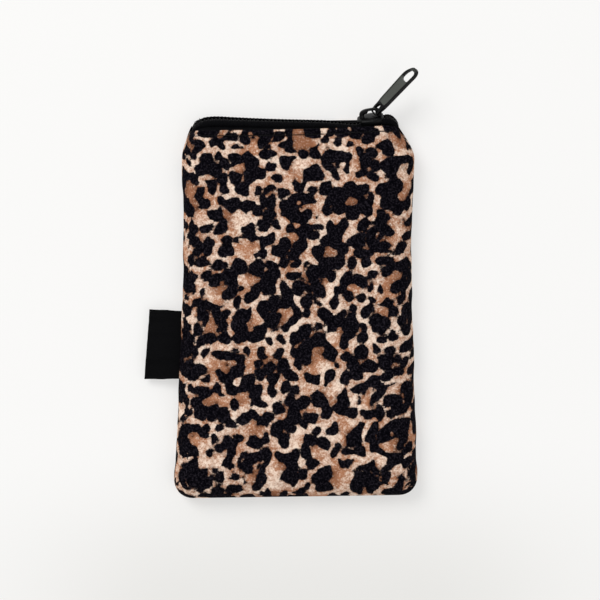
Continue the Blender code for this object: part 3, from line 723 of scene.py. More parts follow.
class Tree:
    """A node tree, of a material or of geometry, that is filled one node at a time."""

    def __init__(self, nodes_of):
        self.tree = nodes_of

    def node(self, kind, values=None, **settings):
        node = self.tree.nodes.new(kind)
        for name, setting in settings.items():
            setattr(node, name, setting)
        for key, value in (values or {}).items():
            self.feed(node, key, value)
        return Made(self, node)

    def feed(self, node, key, value):
        if isinstance(key, int):
            socket = node.inputs[key]
        else:
            socket = next(s for s in node.inputs if key in (s.identifier, s.name))
        if isinstance(value, Wire):
            self.tree.links.new(value.socket, socket)
        elif socket.type == "RGBA" and len(value) == 3:
            socket.default_value = (*value, 1.0)
        else:
            socket.default_value = value


# Metres from one ridge to the next in a wave texture whose scale is 1
WAVE_PITCH = 0.314159


class Finish(Tree):
    """A material and the few kinds of nodes that this object's finishes need."""

    def __init__(self, name, gloss):
        self.material = bpy.data.materials.new(name)
        self.material.use_nodes = True
        super().__init__(self.material.node_tree)
        self.shader = self.tree.nodes["Principled BSDF"]
        self.feed(self.shader, "Specular IOR Level", gloss)
        self.where = self.node("ShaderNodeTexCoord").out("Object")

    def place(self, **change):
        """Object coordinates in metres, with a Rotation or a Scale."""
        return self.node("ShaderNodeMapping", {"Vector": self.where, **change}).out()

    def attribute(self, name):
        return self.node("ShaderNodeAttribute", attribute_name=name).out("Fac")

    def noise(self, size, detail=2.0, roughness=0.5, where=None):
        """Noise between 0 and 1 whose marks are about size metres across."""
        values = {"Vector": where or self.where, "Scale": 1 / size, "Detail": detail, "Roughness": roughness}
        return self.node("ShaderNodeTexNoise", values).out("Fac")

    def ridges(self, spacing, direction="X", distortion=0.0, where=None):
        """Even ridges, one every spacing metres."""
        values = {"Vector": where or self.where, "Scale": WAVE_PITCH / spacing, "Distortion": distortion,
                  "Detail": 1.0}
        return self.node("ShaderNodeTexWave", values, bands_direction=direction).out("Fac")

    def blend(self, share, first, second):
        values = {"Factor_Float": share, "A_Color": first, "B_Color": second}
        return self.node("ShaderNodeMix", values, data_type="RGBA").out("Result_Color")

    def paint(self, colour, roughness):
        self.feed(self.shader, "Base Color", colour)
        self.feed(self.shader, "Roughness", roughness)

    def coated(self, colour, roughness, height, depth):
        """The material with its colour, and relief of about depth metres where height runs from 0 to 1."""
        self.paint(colour, roughness)
        values = {"Height": height, "Distance": depth, "Strength": 1.0}
        self.feed(self.shader, "Normal", self.node("ShaderNodeBump", values).out())
        return self.material


class Form(Tree):
    """A geometry node tree with named sizes, which makes a repeated or wound form along a path."""

    def __init__(self, name, **sizes):
        group = bpy.data.node_groups.new(name, "GeometryNodeTree")
        super().__init__(group)
        group.interface.new_socket("Path", in_out="INPUT", socket_type="NodeSocketGeometry")
        self.keys = {}
        for label, size in sizes.items():
            kind = "NodeSocketInt" if isinstance(size, int) else "NodeSocketFloat"
            socket = group.interface.new_socket(label, in_out="INPUT", socket_type=kind)
            socket.default_value = size
            self.keys[label] = socket.identifier
        group.interface.new_socket("Form", in_out="OUTPUT", socket_type="NodeSocketGeometry")
        self.given = self.node("NodeGroupInput")
        self.result = self.node("NodeGroupOutput")

    def size(self, label):
        return self.given.out(label)

    def path(self, values, **settings):
        """The path as a curve of evenly set points."""
        curve = self.node("GeometryNodeMeshToCurve", {"Mesh": self.size("Path")}).out()
        return self.node("GeometryNodeResampleCurve", {"Curve": curve, **values}, **settings).out()

    def wire(self, curve, sides, radius):
        """A smooth round wire along a curve."""
        ring = self.node("GeometryNodeCurvePrimitiveCircle", {"Resolution": sides, "Radius": radius}).out()
        values = {"Curve": curve, "Profile Curve": ring, "Fill Caps": True}
        mesh = self.node("GeometryNodeCurveToMesh", values).out()
        return self.node("GeometryNodeSetShadeSmooth", {"Geometry": mesh}).out()

    def scaled(self, direction, length):
        return self.node("ShaderNodeVectorMath", {0: tuple(direction), "Scale": length}, operation="SCALE").out()

    def closes_with(self, geometry, material):
        whole = self.node("GeometryNodeRealizeInstances", {"Geometry": geometry}).out()
        painted = self.node("GeometryNodeSetMaterial", {"Geometry": whole, "Material": material}).out()
        self.feed(self.result.node, "Form", painted)

    def along(self, name, path, **sizes):
        """The form made along a path of points, as a plain mesh."""
        guide = bpy.data.meshes.new(name + "_path")
        guide.from_pydata([tuple(p) for p in path], [(i, i + 1) for i in range(len(path) - 1)], [])
        holder = in_scene(name + "_path", guide)
        modifier = holder.modifiers.new("form", "NODES")
        modifier.node_group = self.tree
        for label, size in sizes.items():
            modifier[self.keys[label]] = size
        mesh = plain_mesh(name, holder)
        bpy.data.meshes.remove(guide)
        return mesh


def winding_form(material):
    """A wire wound into the flat loops of one coil, from its spine to the heads that meet the other coil."""
    form = Form("coil_winding", Turns=20, Steps=18, Wire=0.00033, Spine=0.0025, Head=-0.0003, Low=-0.0004,
                Top=0.0012, Side=1.0, Start=0.0)
    size = form.size
    even = form.path({"Count": size("Turns") * size("Steps") + 1})
    index = form.node("GeometryNodeInputIndex").out()
    angle = (index / size("Steps") + size("Start")) * (2 * math.pi)
    across_turn = (angle.math("COSINE") * 1.25).math("MINIMUM", 1.0).math("MAXIMUM", -1.0)
    out_turn = (angle.math("SINE") * 1.2).math("MINIMUM", 1.0).math("MAXIMUM", -1.0)
    middle = (size("Spine") + size("Head")) * 0.5
    reach = (size("Spine") - size("Head")) * 0.5
    across = (middle + across_turn * reach) * size("Side") * -1.0
    out = (size("Top") + size("Low")) * 0.5 + out_turn * (size("Top") - size("Low")) * 0.5
    sideways, outwards = form.scaled(ACROSS, across), form.scaled(OUTWARD, out)
    shift = form.node("ShaderNodeVectorMath", {0: sideways, 1: outwards}, operation="ADD").out()
    wound = form.node("GeometryNodeSetPosition", {"Geometry": even, "Offset": shift}).out()
    form.closes_with(form.wire(wound, 7, size("Wire")), material)
    return form


def stitch_form(material):
    """Short arched threads set end to end along a path, each turned a little by chance."""
    form = Form("stitch_row", Length=STITCH_LENGTH, Pitch=STITCH_PITCH, Thread=0.0002, Arch=0.00012, Skew=0.05,
                Seed=7)
    size = form.size
    even = form.path({"Length": size("Pitch")}, mode="LENGTH")
    tangent = form.node("GeometryNodeInputTangent").out()
    turn = form.node("FunctionNodeAlignRotationToVector", {"Vector": tangent}, axis="X").out()
    limits = {"Min_001": size("Skew") * -1.0, "Max_001": size("Skew"), "Seed": size("Seed")}
    skew = form.node("FunctionNodeRandomValue", limits, data_type="FLOAT").out("Value_001")
    spin = form.node("FunctionNodeAxisAngleToRotation", {"Axis": (0.0, 1.0, 0.0), "Angle": skew}).out()
    spun = form.node("FunctionNodeRotateRotation", {"Rotation": turn, "Rotate By": spin}).out()
    half = size("Length") * 0.5
    ends = {"Start": {"X": half * -1.0}, "Middle": {"Z": size("Arch") * 2.0}, "End": {"X": half}}
    points = {key: form.node("ShaderNodeCombineXYZ", axes).out() for key, axes in ends.items()}
    arc = form.node("GeometryNodeCurveQuadraticBezier", {"Resolution": 6, **points}).out()
    thread = form.wire(arc, 6, size("Thread"))
    row = form.node("GeometryNodeInstanceOnPoints", {"Points": even, "Instance": thread, "Rotation": spun}).out()
    form.closes_with(row, material)
    return form


# Colours, as linear red, green and blue, and below them the foam's pores in metres, the share of its own colour
# that the floor shows a camera, and how far the dark spots spread
SPOT_NAVY = (0.0010, 0.0008, 0.0020)
# Light specks on the dark spots: partly the knit's grain, partly painted glints of its fibres
SPOT_SPECK_AND_GLINT = (0.0200, 0.0170, 0.0230)
GROUND_CREAM = (0.94, 0.75, 0.61)
GROUND_TAN = (0.45, 0.205, 0.110)
GROUND_RUST = (0.23, 0.090, 0.044)
DYE_BROWN = (0.080, 0.028, 0.013)
TAPE_BLACK = (0.0022, 0.0022, 0.0028)
TAPE_WORN = (0.0090, 0.0090, 0.0105)
NYLON_BLACK = (0.0060, 0.0060, 0.0066)
# Lighter nylon: partly scuffs, partly painted glints of the coil's teeth
NYLON_SCUFF_AND_GLINT = (0.0320, 0.0320, 0.0340)
PAINT_BLACK = (0.0014, 0.0014, 0.0016)
PAINT_RUBBED = (0.009, 0.009, 0.010)
# Painted sheen on the pull's flat faces, from its darker to its greyer tone
SHEEN_FACE_DARK = (0.050, 0.053, 0.047)
SHEEN_FACE_GREY = (0.092, 0.098, 0.088)
RIBBON_BLACK = (0.0006, 0.0006, 0.0009)
RIBBON_THREAD = (0.0040, 0.0040, 0.0048)
THREAD_BLACK = (0.0030, 0.0028, 0.0030)
THREAD_GREY = (0.0160, 0.0145, 0.0150)
LINING_BLACK = (0.014, 0.014, 0.016)
LINING_GREY = (0.040, 0.040, 0.044)
FOAM_CREAM = (0.72, 0.68, 0.60)
# Painted shade colour in the foam's pores
FOAM_SHADE = (0.50, 0.46, 0.39)
FOAM_PORE = 0.0009
FLOOR_WHITE = (0.945, 0.940, 0.928)
FLOOR_TONE = (0.925, 0.920, 0.908)
# Colour of the floor's painted shadow towards the front
FLOOR_PAINTED_SHADOW = (0.815, 0.808, 0.785)
FLOOR_EVENNESS = 0.55
SPOT_SPREAD = 0.13


def knit_finish():
    """Soft knit with a dark spotted print over a cream ground that is dyed tan and rust inside the rosettes."""
    cloth = Finish("spotted_knit", 0.02)
    fuzz = cloth.noise(0.0011, 3.0, 0.6)
    drift = cloth.noise(0.0035, 2.0)
    speck = cloth.noise(0.00080, 2.0, 0.7)
    grain = cloth.noise(0.0016, 4.0, 0.75)
    smudge = cloth.noise(0.0060, 4.0, 0.62)
    blotch = cloth.noise(0.0120, 3.0, 0.6)
    spots = cloth.attribute("spots") + SPOT_SPREAD + (fuzz - 0.5) * 0.85 + (drift - 0.5) * 0.5
    dark = spots.step(-0.30, 0.02)
    inside = cloth.attribute("warmth")
    hollow = inside.step(1.0, 3.5)
    rim = (spots + (fuzz - 0.5) * 1.6).step(-1.5, 0.0) * (hollow * 0.70 + 0.30)
    tanned = (0.63 + (blotch - 0.5) * 3.0 + (grain - 0.5) * 3.8 + (inside - 1.5) * 0.16).held()
    rusty = ((smudge - 0.5) * 3.2 + (inside - 2.6) * 0.20).step(0.05, 0.75)
    ground = cloth.blend(tanned, GROUND_CREAM, GROUND_TAN)
    for share, dye in ((rusty * 0.72, GROUND_RUST), (rim * (smudge * 2.2 - 0.35).held() * 0.9, DYE_BROWN),
                       ((speck - 0.5).step(0.02, 0.26) * 0.35, GROUND_RUST),
                       ((0.5 - speck).step(0.02, 0.26) * 0.45, GROUND_CREAM)):
        ground = cloth.blend(share, ground, dye)
    # Light specks on the dark spots: partly the knit's grain, partly painted glints of its fibres
    ink = cloth.blend((speck - 0.46).step(0.0, 0.24), SPOT_NAVY, SPOT_SPECK_AND_GLINT)
    stretch = cloth.ridges(0.00055, "X", 2.0) * 0.4
    return cloth.coated(cloth.blend(dark, ground, ink), 0.80 + speck * 0.15, speck * 0.9 + stretch + fuzz * 0.8,
                        0.00016)


def tape_finish():
    tape = Finish("zip_tape_weave", 0.04)
    tilted = tape.place(Rotation=(-ZIP_TILT, 0.0, 0.0))
    twill = tape.ridges(0.00050, "DIAGONAL", 1.0, tilted) * tape.ridges(0.00042, "X", 0.5, tilted)
    worn = tape.noise(0.0030, 3.0)
    colour = tape.blend((twill * 0.5 + worn * 0.5).step(0.25, 0.9), TAPE_BLACK, TAPE_WORN)
    return tape.coated(colour, 0.72 + worn * 0.2, twill + tape.noise(0.0004) * 0.4, 0.00014)


def nylon_finish():
    nylon = Finish("coil_nylon", 0.12)
    scuff_and_glint = nylon.noise(0.0016, 4.0, 0.65)
    # Lighter patches at random: partly scuffs, partly painted glints of the coil's teeth
    colour = nylon.blend(scuff_and_glint.step(0.45, 0.75), NYLON_BLACK, NYLON_SCUFF_AND_GLINT)
    return nylon.coated(colour, 0.30 + scuff_and_glint * 0.22, nylon.noise(0.00030, 2.0), 0.00003)


def paint_finish():
    """Black paint on cast metal, greyer where it is rubbed; the pull's flat faces carry a painted grey sheen, full
    on its sunk faces and half on its rim, while its sides stay black.
    """
    paint = Finish("slider_black_paint", 0.14)
    cloud = paint.noise(0.0060, 3.0)
    grain = paint.noise(0.00045, 2.0)
    rubbed = (cloud * 0.7 + grain * 0.3).step(0.42, 0.72)
    black = paint.blend(rubbed * 0.45, PAINT_BLACK, PAINT_RUBBED)
    face = paint.blend(cloud * 0.5 + grain * 0.5, SHEEN_FACE_DARK, SHEEN_FACE_GREY)
    # Painted sheen: the pull's flat faces, marked by their attribute, are grey, the rest black paint
    colour = paint.blend(paint.attribute("sunk"), black, face)
    return paint.coated(colour, 0.20 + cloud * 0.16, grain, 0.00002)


def ribbon_finish():
    ribbon = Finish("satin_ribbon", 0.03)
    weft = ribbon.ridges(0.00032, "Y", 0.3)
    warp = ribbon.noise(0.00028, 2.0, where=ribbon.place(Scale=(0.12, 1.0, 1.0)))
    colour = ribbon.blend((weft * 0.5 + warp * 0.5).step(0.3, 0.8), RIBBON_BLACK, RIBBON_THREAD)
    return ribbon.coated(colour, 0.42 + warp * 0.18, weft * 0.7 + warp * 0.5, 0.00006)


def thread_finish():
    thread = Finish("sewing_thread", 0.08)
    ply = thread.ridges(0.00022, "X", where=thread.place(Rotation=(0.0, 0.0, 0.9)))
    tone = thread.noise(0.0020, 2.0)
    return thread.coated(thread.blend(ply * tone, THREAD_BLACK, THREAD_GREY), 0.65 + tone * 0.15, ply, 0.00004)


def lining_finish():
    lining = Finish("plain_lining", 0.3)
    warp, weft = lining.ridges(0.00040, "X", 0.4), lining.ridges(0.00040, "Y", 0.4)
    tone = lining.noise(0.0080, 3.0)
    check = warp * (1 - weft) + weft * (1 - warp)
    colour = lining.blend((check * 0.6 + tone * 0.4).step(0.2, 0.9), LINING_BLACK, LINING_GREY)
    return lining.coated(colour, 0.70 + tone * 0.2, check, 0.00010)


def foam_finish():
    foam = Finish("open_foam", 0.2)
    pores = foam.node("ShaderNodeTexVoronoi", {"Vector": foam.where, "Scale": 1 / FOAM_PORE}).out("Distance")
    tone = foam.noise(0.0060, 3.0)
    # Painted shade: the dents of the pores take the darker colour
    colour = foam.blend((pores * 0.7 + tone * 0.5).held(), FOAM_SHADE, FOAM_CREAM)
    return foam.coated(colour, 0.9 + tone * 0.05, pores, 0.00030)


def floor_finish():
    """Pale paper with a painted shadow that greys it towards the front, most behind the middle, and that a camera
    sees with only part of its shading.
    """
    paper = Finish("pale_floor", 0.15)
    tone = paper.noise(0.15, 2.0)
    place = paper.node("ShaderNodeSeparateXYZ", {"Vector": paper.where})
    sideways = place.out("X").math("ABSOLUTE").step(0.05, 0.15)
    # Painted shadow: the paper darkens towards the front, least at the sides, standing for the pouch's soft shadow
    # there
    front = (place.out("Y") * -1.0).step(0.055, 0.135) * (1.0 - sideways * 0.7)
    colour = paper.blend(front, paper.blend(tone * 0.25, FLOOR_WHITE, FLOOR_TONE), FLOOR_PAINTED_SHADOW)
    paper.paint(colour, 0.75 + tone * 0.1)
    rays = paper.node("ShaderNodeLightPath")
    seen = (rays.out("Is Camera Ray") + rays.out("Is Glossy Ray") + rays.out("Is Transmission Ray")).held()
    glow = paper.node("ShaderNodeEmission", {"Color": colour, "Strength": 1.0}).out()
    shares = {"Fac": seen * FLOOR_EVENNESS, 1: Wire(paper, paper.shader.outputs[0]), 2: glow}
    both = paper.node("ShaderNodeMixShader", shares).out()
    paper.feed(paper.tree.nodes["Material Output"], "Surface", both)
    return paper.material


# How the zip's middle strays from its straight line, and how far it twists, at places along it in millimetres
STRAY_AT = np.array((-48.0, -46.4, -44.6, -42.8, -40.5, -37.0, -33.0, -29.0, -24.0, -17.0, -10.0, -3.0, 5.0, 14.0,
                     22.0, 27.5, 32.0, 36.5, 40.5, 43.0, 44.6, 46.2, 48.0))
STRAY_OUT = np.array((-8.5, -6.3, -2.4, -1.0, 0.25, 0.85, 0.9, 0.65, 0.35, -0.05, -0.4, -0.7, -1.0, -1.4, -2.1,
                      -2.6, -1.8, -0.4, 0.5, 0.6, 0.0, -1.6, -5.0))
DIVE_AT = np.array((-48.0, -46.4, -44.6, -42.5, -40.0, 41.0, 43.0, 45.0, 46.2, 48.0))
DIVE_OUT = np.array((-7.0, -4.6, -1.2, 0.0, 0.0, 0.0, 0.0, -0.3, -1.0, -3.0))
TWIST_AT = np.array((-48.0, -42.0, -36.0, -28.0, -18.0, -8.0, 30.0, 48.0))
TWIST = np.radians((9.0, 9.0, 8.0, 5.0, 2.0, 0.0, 0.0, 0.0))

# How the slider lies on the slack zip, where the coils end and part, and the sizes of the pieces along them
SLIDER_LEAN = math.radians(8.5)
SLIDER_ROLL = math.radians(8.0)
SLIDER_DROP = 0.0002
WINDING_LEFT = -0.0463
WINDING_RIGHT = 0.0471
PARTED = 0.0005
PARTED_OVER = 0.006
LIP_HALVES = (("left", WINDING_LEFT, 0.0), ("right", 0.0, WINDING_RIGHT))
TAPE_PAST_COIL = 0.0004
TAPE_BOW = 0.00025
CORD_ACROSS = 0.0014
CORD_OUT = 0.0004
CORD_HALF_WIDTH = 0.0009
CORD_HALF_HEIGHT = 0.0006
COVER_SECTION = ((0.00305, TAPE_LEVEL + 0.0001), (0.00318, -0.0002), (0.00312, 0.0006), (0.00282, 0.0013),
                 (0.00230, 0.00166), (0.0017, 0.00174), (0.00128, 0.00162))
COVER_RIB = 0.00005
COVER_THICKNESS = 0.00016
END_ROWS = 5
END_ROW_STEP = 0.00045
END_STITCH_GAP = 0.0040
STITCH_OVER_COIL = 0.00012


def chain_line(x, across=0.0, out=0.0):
    """Points of the zip's middle line, or of a line beside it, before the zip's twist."""
    x = np.asarray(x, float)
    stray = eased(x * 1000, STRAY_AT, STRAY_OUT) / 1000
    points = np.zeros(x.shape + (3,))
    points[..., 0] = x
    points[..., 1] = CHAIN_Y
    points[..., 2] = CHAIN_Z
    return points + (stray + out)[..., None] * OUTWARD + (across + 0 * x)[..., None] * ACROSS


def twisted(points):
    """Turns points round the zip's middle line by the zip's twist at their place along it."""
    turn = eased(points[..., 0] * 1000, TWIST_AT, TWIST)
    middle = chain_line(points[..., 0])
    y, z = points[..., 1] - middle[..., 1], points[..., 2] - middle[..., 2]
    sine, cosine = np.sin(turn), np.cos(turn)
    turned = points.copy()
    turned[..., 1] = middle[..., 1] + y * cosine - z * sine
    turned[..., 2] = middle[..., 2] + y * sine + z * cosine
    return turned


def parted(x, side):
    """How far a coil stands off the middle where the slider has not closed it."""
    return -side * PARTED * smooth((x - SLIDER_REST_X) / PARTED_OVER)


def margin_height(side, x, y):
    """Height of the tape's sewn margin, between the outer fabric and the lining."""
    return outer_face(side, x, y, SEAM_BAND) - side * MARGIN_DEPTH


def tape_bend(side, x):
    """Where the tape turns from its sewn margin to the plane of the coils."""
    x = np.asarray(x, float)
    level = np.array((0.0, CHAIN_Y, CHAIN_Z)) + OUTWARD * TAPE_LEVEL
    across = (margin_height(side, x, MOUTH_Y + 0 * x) - level[2]) / ACROSS[2]
    points = level + across[..., None] * ACROSS
    points += (eased(x * 1000, DIVE_AT, DIVE_OUT) / 1000)[..., None] * OUTWARD
    points[..., 0] = x
    return points


def tape_margin(side, word, material):
    """The hidden margin of the tape, sewn between the fabric and the lining along the whole mouth."""
    end = MOUTH_WIDTH / 2 - ZIP_END_GAP
    x = np.linspace(-end, end, 91)
    rows = []
    for share in np.linspace(0, 1, 6):
        y = mix(MOUTH_Y - FOAM_DROP + 2 * CLEARANCE, MOUTH_Y - FOAM_DROP / 2, share) + 0 * x
        row = np.stack((x, y + back_edge_rise(side, x, y), margin_height(side, x, y)), axis=-1)
        rows.append(settled(row, side))
    last = rows[-1]
    rows += [mix(last, tape_bend(side, x), share) for share in (0.35, 0.7, 0.9)]
    piece = show(sheet_shell(word + "_tape_margin", rows, TAPE), material)
    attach(piece, "pouch")
    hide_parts(word + "_tape")


def lip_bends(piece):
    """Bakes a lip piece's place into its mesh."""
    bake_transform(piece)


def tape_lips(side, word, material):
    """The strip of tape that stands in the mouth, from its fold to its edge under the coil."""
    for half_word, first, last in LIP_HALVES:
        x = np.linspace(first + TAPE_PAST_COIL * np.sign(first), last + TAPE_PAST_COIL * np.sign(last), 90)
        bend = tape_bend(side, x)
        edge = twisted(chain_line(x, -side * CHAIN_SLIT / 2 + parted(x, side), TAPE_LEVEL))
        rows = [mix(bend, edge, share) + 4 * share * (1 - share) * TAPE_BOW * OUTWARD
                for share in np.linspace(0, 1, 12)]
        piece = show(sheet_shell(word + "_tape_" + half_word, rows, TAPE), material)
        lip_bends(piece)
        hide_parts(word + "_lip_tape")


def coil_windings(side, word, form, material):
    """One coil's wound wire; the back coil is half a turn behind the front one, so that they interlock."""
    for half_word, first, last in LIP_HALVES:
        x = np.linspace(first, last, 240)
        mesh = form.along(word + "_winding_" + half_word, chain_line(x, parted(x, side)), Side=float(side),
                          Turns=round((last - first) / COIL_PITCH), Start=0.0 if side > 0 else 0.5)
        mesh.vertices.foreach_set("co", twisted(points_of(mesh)).astype(np.float32).ravel())
        mesh.update()
        piece = show(mesh, material)
        lip_bends(piece)
        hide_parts(word + "_coil_" + half_word, word + "_lip_coil")


def filler_cords(side, word, material):
    """The soft cord that runs inside a coil and fills it."""
    for half_word, first, last in LIP_HALVES:
        x = np.linspace(first, last, 150)
        middle = -side * CORD_ACROSS + parted(x, side)
        rings = [twisted(chain_line(x, middle + CORD_HALF_WIDTH * math.cos(turn),
                                    CORD_OUT + CORD_HALF_HEIGHT * math.sin(turn))) for turn in round_turns(8)]
        mesh = closed_tube(word + "_filler_cord_" + half_word, np.stack(rings, axis=1))
        piece = show(mesh, material)
        lip_bends(piece)


def coil_covers(side, word, material):
    """The woven edge of a tape, whose threads close over the outer half of its coil."""
    for half_word, first, last in LIP_HALVES:
        x = np.linspace(first, last, 250)
        rib = COVER_RIB * np.cos(x / COIL_PITCH * 2 * math.pi)
        rows = [twisted(chain_line(x, -side * (wide + rib) + parted(x, side), out + rib))
                for wide, out in COVER_SECTION]
        mesh = sheet_shell(word + "_coil_cover_" + half_word, rows, COVER_THICKNESS)
        piece = show(mesh, material)
        lip_bends(piece)


def end_stitches(word, x, form, material):
    """The cross stitches over both coils where the zip ends."""
    across = np.linspace(-COIL_WIDTH / 2, COIL_WIDTH / 2, 30)
    points = []
    for row in range(END_ROWS):
        place = x + (row - (END_ROWS - 1) / 2) * END_ROW_STEP
        line = chain_line(np.full(len(across), place), across, COIL_TOP + STITCH_OVER_COIL)
        points.append(twisted(line if row % 2 == 0 else line[::-1]))
    mesh = form.along(word + "_end_stitches", np.concatenate(points), Length=0.00160, Pitch=0.0015, Thread=0.00013,
                      Arch=0.00003, Skew=0.03)
    piece = show(mesh, material)
    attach(piece, "pouch")
    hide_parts(word + "_bartack")


# Grids of the walls' layers, the hem's puff over its stitches, and where the print lies on the front and the back
PANEL_EDGE_STEPS = 10
LAYER_EDGE_STEPS = 6
PANEL_GRID = 0.00085
HEM_GRID = 0.00035
FOAM_GRID = 0.0025
LINING_GRID = 0.0020
HEM_PUFF = 0.00012
PRINT_FRONT = (0.080, 0.010)
PRINT_BACK = (0.215, 0.012)


def hem_tuck(x):
    """The pucker of the sewn hem along the mouth."""
    return ripple(61, x / HEM_PUCKER_LENGTH) * HEM_PUCKER


def printed_panel(side, word, material, print_pictures):
    """A wall's printed outer fabric, with its top edge turned in over the zip tape."""
    outer, inner = (wall_points(side, inset, inset, POUCH_LENGTH + inset, PANEL_EDGE_STEPS, PANEL_GRID,
                                HEM_GRID, SEWN_GAP) for inset in (0.0, OUTER_FABRIC))
    along, up = lengths_over(outer)
    x, y = outer[..., 0], outer[..., 1] - back_edge_rise(side, outer[..., 0], outer[..., 1])
    groove = hump(y - MOUTH_Y + STITCH_DROP, GROOVE_HALF)
    reach = smooth((MOUTH_WIDTH / 2 - 0.002 - np.abs(x)) / 0.003)
    beads = 0.75 + 0.25 * np.cos(x / STITCH_PITCH * 2 * math.pi)
    puff = smooth((y - MOUTH_Y + STITCH_DROP) / 0.001) * HEM_PUFF
    tuck = hem_tuck(x) * smooth((y - MOUTH_Y + 0.010) / HEM_BAND)
    outer, inner = lowered(settled(outer, side), side), lowered(settled(inner, side), side)
    outer[..., 2] += side * (puff - groove * beads * GROOVE_DEPTH) * reach
    for layer in (outer, inner):
        layer[..., 2] += side * tuck * reach
    mesh = closed_shell(word + "_printed_panel", outer, inner, 4)
    middle, low = PRINT_FRONT if side > 0 else PRINT_BACK
    x_print, y_print = middle + side * along, low + up
    flat_x = shell_order(x_print, [x_print[-1]] * 4, x_print).ravel()
    flat_y = shell_order(y_print, [y_print[-1] + 0.0005] * 4, y_print).ravel()
    for name, picture in zip(("spots", "warmth"), print_pictures):
        mark(mesh, name, sample(picture, flat_x, flat_y))
    piece = show(mesh, material)
    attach(piece, "pouch")
    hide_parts("outer_" + word + "_panel")


def plain_layer(name, node, side, inset, mouth_inset, thickness, top, material, grid):
    """A hidden layer of a wall: its padding or its lining."""
    layers = (wall_points(side, inset + deep, mouth_inset + deep, top + deep, LAYER_EDGE_STEPS, grid)
              for deep in (0.0, thickness))
    outer, inner = (settled(layer, side) for layer in layers)
    piece = show(closed_shell(name, outer, inner), material)
    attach(piece, "pouch")
    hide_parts(node)
    return piece


def topstitches(side, word, form, material):
    """The row of stitches sunk in a groove just below the mouth."""
    reach = MOUTH_WIDTH / 2 - MOUTH_ROUNDING + 0.002
    x = np.linspace(-reach, reach, 300)
    y = MOUTH_Y - STITCH_DROP + 0 * x
    z = outer_face(side, x, y)
    line = lowered(settled(np.stack((x, y + back_edge_rise(side, x, y), z), axis=-1), side), side)
    line[:, 2] += side * (hem_tuck(x) - GROOVE_DEPTH * 0.9 + HEM_PUFF)
    mesh = form.along(word + "_stitches", line, Length=0.00325, Thread=0.00019, Arch=0.00005 * side, Skew=0.02)
    piece = show(mesh, material)
    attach(piece, "pouch")
    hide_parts(word + "_topstitch")


# How far the ribbon label reaches out of its seam at its lower and upper edge, and how its free end hangs
LABEL_REACHES = (0.0162, 0.0151)
LABEL_DROOP = 0.0016
LABEL_CURL = 0.0007
LABEL_BELLY = 0.00035
LABEL_RISE = 0.0010
LABEL_OFF_SEAM = 0.0019


def ribbon_label(material):
    """A satin ribbon folded in two and caught by both ends in the left seam, with no lettering."""
    y = np.linspace(LABEL_TOP_Y - LABEL_WIDTH, LABEL_TOP_Y, 62)
    seam_x = -half_width(y) + LEAN * y + LABEL_OFF_SEAM
    fold = LABEL_RIBBON + CLEARANCE / 2
    run = np.concatenate((np.linspace(0, 1, 26), 1 + np.linspace(0, 1, 9)[1:], 2 + np.linspace(0, 1, 26)[1:]))
    share_y = (y - y[0]) / LABEL_WIDTH
    reach = mix(*LABEL_REACHES, share_y) + 0.00012 * ripple(71, share_y * 2.0)
    rows = []
    for place in run:
        turn = np.clip(place - 1, 0, 1) * math.pi
        out = min(place, 1.0, 3 - place)
        height = fold * math.cos(turn)
        bulge = fold * math.sin(turn) * 1.2
        droop = -LABEL_DROOP * out ** 1.6 * (0.8 + 0.5 * ripple(73, share_y * 1.3))
        curl = LABEL_CURL * (share_y - 0.5) * out + LABEL_BELLY * np.sin(share_y * math.pi) * out
        skew = 0.0002 + out * LABEL_RISE * share_y + 0.0002 * ripple(77, out * 1.5) * (share_y - 0.5)
        z = seam_height(y) + height * (1 + 0.9 * math.sin(out * math.pi)) + droop + curl
        rows.append(np.stack((seam_x - reach * out - bulge, y + skew, z), axis=-1))
    piece = show(sheet_shell("ribbon_label", rows, LABEL_RIBBON * 0.8), material)
    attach(piece, "pouch")
    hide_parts("side_label")


def upright_prism(name, layers):
    """A solid through outlines of the same count of points, each with its height."""
    return closed_tube(name, np.array([[(x, y, height) for x, y in outline] for outline, height in layers]))


def carved(name, mesh, cuts):
    """The solid with others added to it or cut from it."""
    holder = in_scene(name, mesh)
    cutters = []
    for operation, shape in cuts:
        cutters.append(in_scene(name + "_cutter", shape))
        boolean = holder.modifiers.new(operation, "BOOLEAN")
        boolean.operation = operation
        boolean.object = cutters[-1]
        boolean.solver = "EXACT"
    finished = plain_mesh(name, holder, *cutters)
    finished.shade_smooth()
    finished.set_sharp_from_angle(angle=SHARP_ANGLE)
    return finished


def placed(mesh, origin, x_axis, y_axis):
    """Takes a mesh from its own axes to its place in the object."""
    x_axis, y_axis = Vector(x_axis), Vector(y_axis)
    z_axis = x_axis.cross(y_axis)
    place = Matrix.Identity(4)
    for row in range(3):
        place[row][0], place[row][1], place[row][2] = x_axis[row], y_axis[row], z_axis[row]
        place[row][3] = origin[row]
    mesh.transform(place)
    return mesh


def on_the_zip(mesh, roll=0.0, drop=0.0):
    """Puts a slider's piece on the zip at its rest, leaning and rolled as the slack zip lets it lie."""
    centre = Vector((SLIDER_REST_X, CHAIN_Y, CHAIN_Z)) - Vector(OUTWARD) * drop
    mesh.transform(Matrix.Rotation(roll, 4, "X") @ Matrix.Rotation(-SLIDER_LEAN, 4, "Y"))
    return placed(mesh, centre, ALONG, ACROSS)


def squared(value, power):
    """A sine or a cosine bent so that its round becomes a square with soft corners."""
    return np.sign(value) * np.abs(value) ** power


def slider_oval(inset):
    """The slider's outline from above: blunt at its head and narrower at its round tail."""
    points = []
    for turn in round_turns(56):
        x = squared(math.cos(turn), OVAL_POWER) * (SLIDER_HALF - inset)
        y = squared(math.sin(turn), OVAL_POWER) * (SLIDER_WIDTH / 2 - inset)
        points.append((x, y * (1 - SLIDER_TAPER * smooth((-x / SLIDER_HALF + 0.15) / 1.15))))
    return points


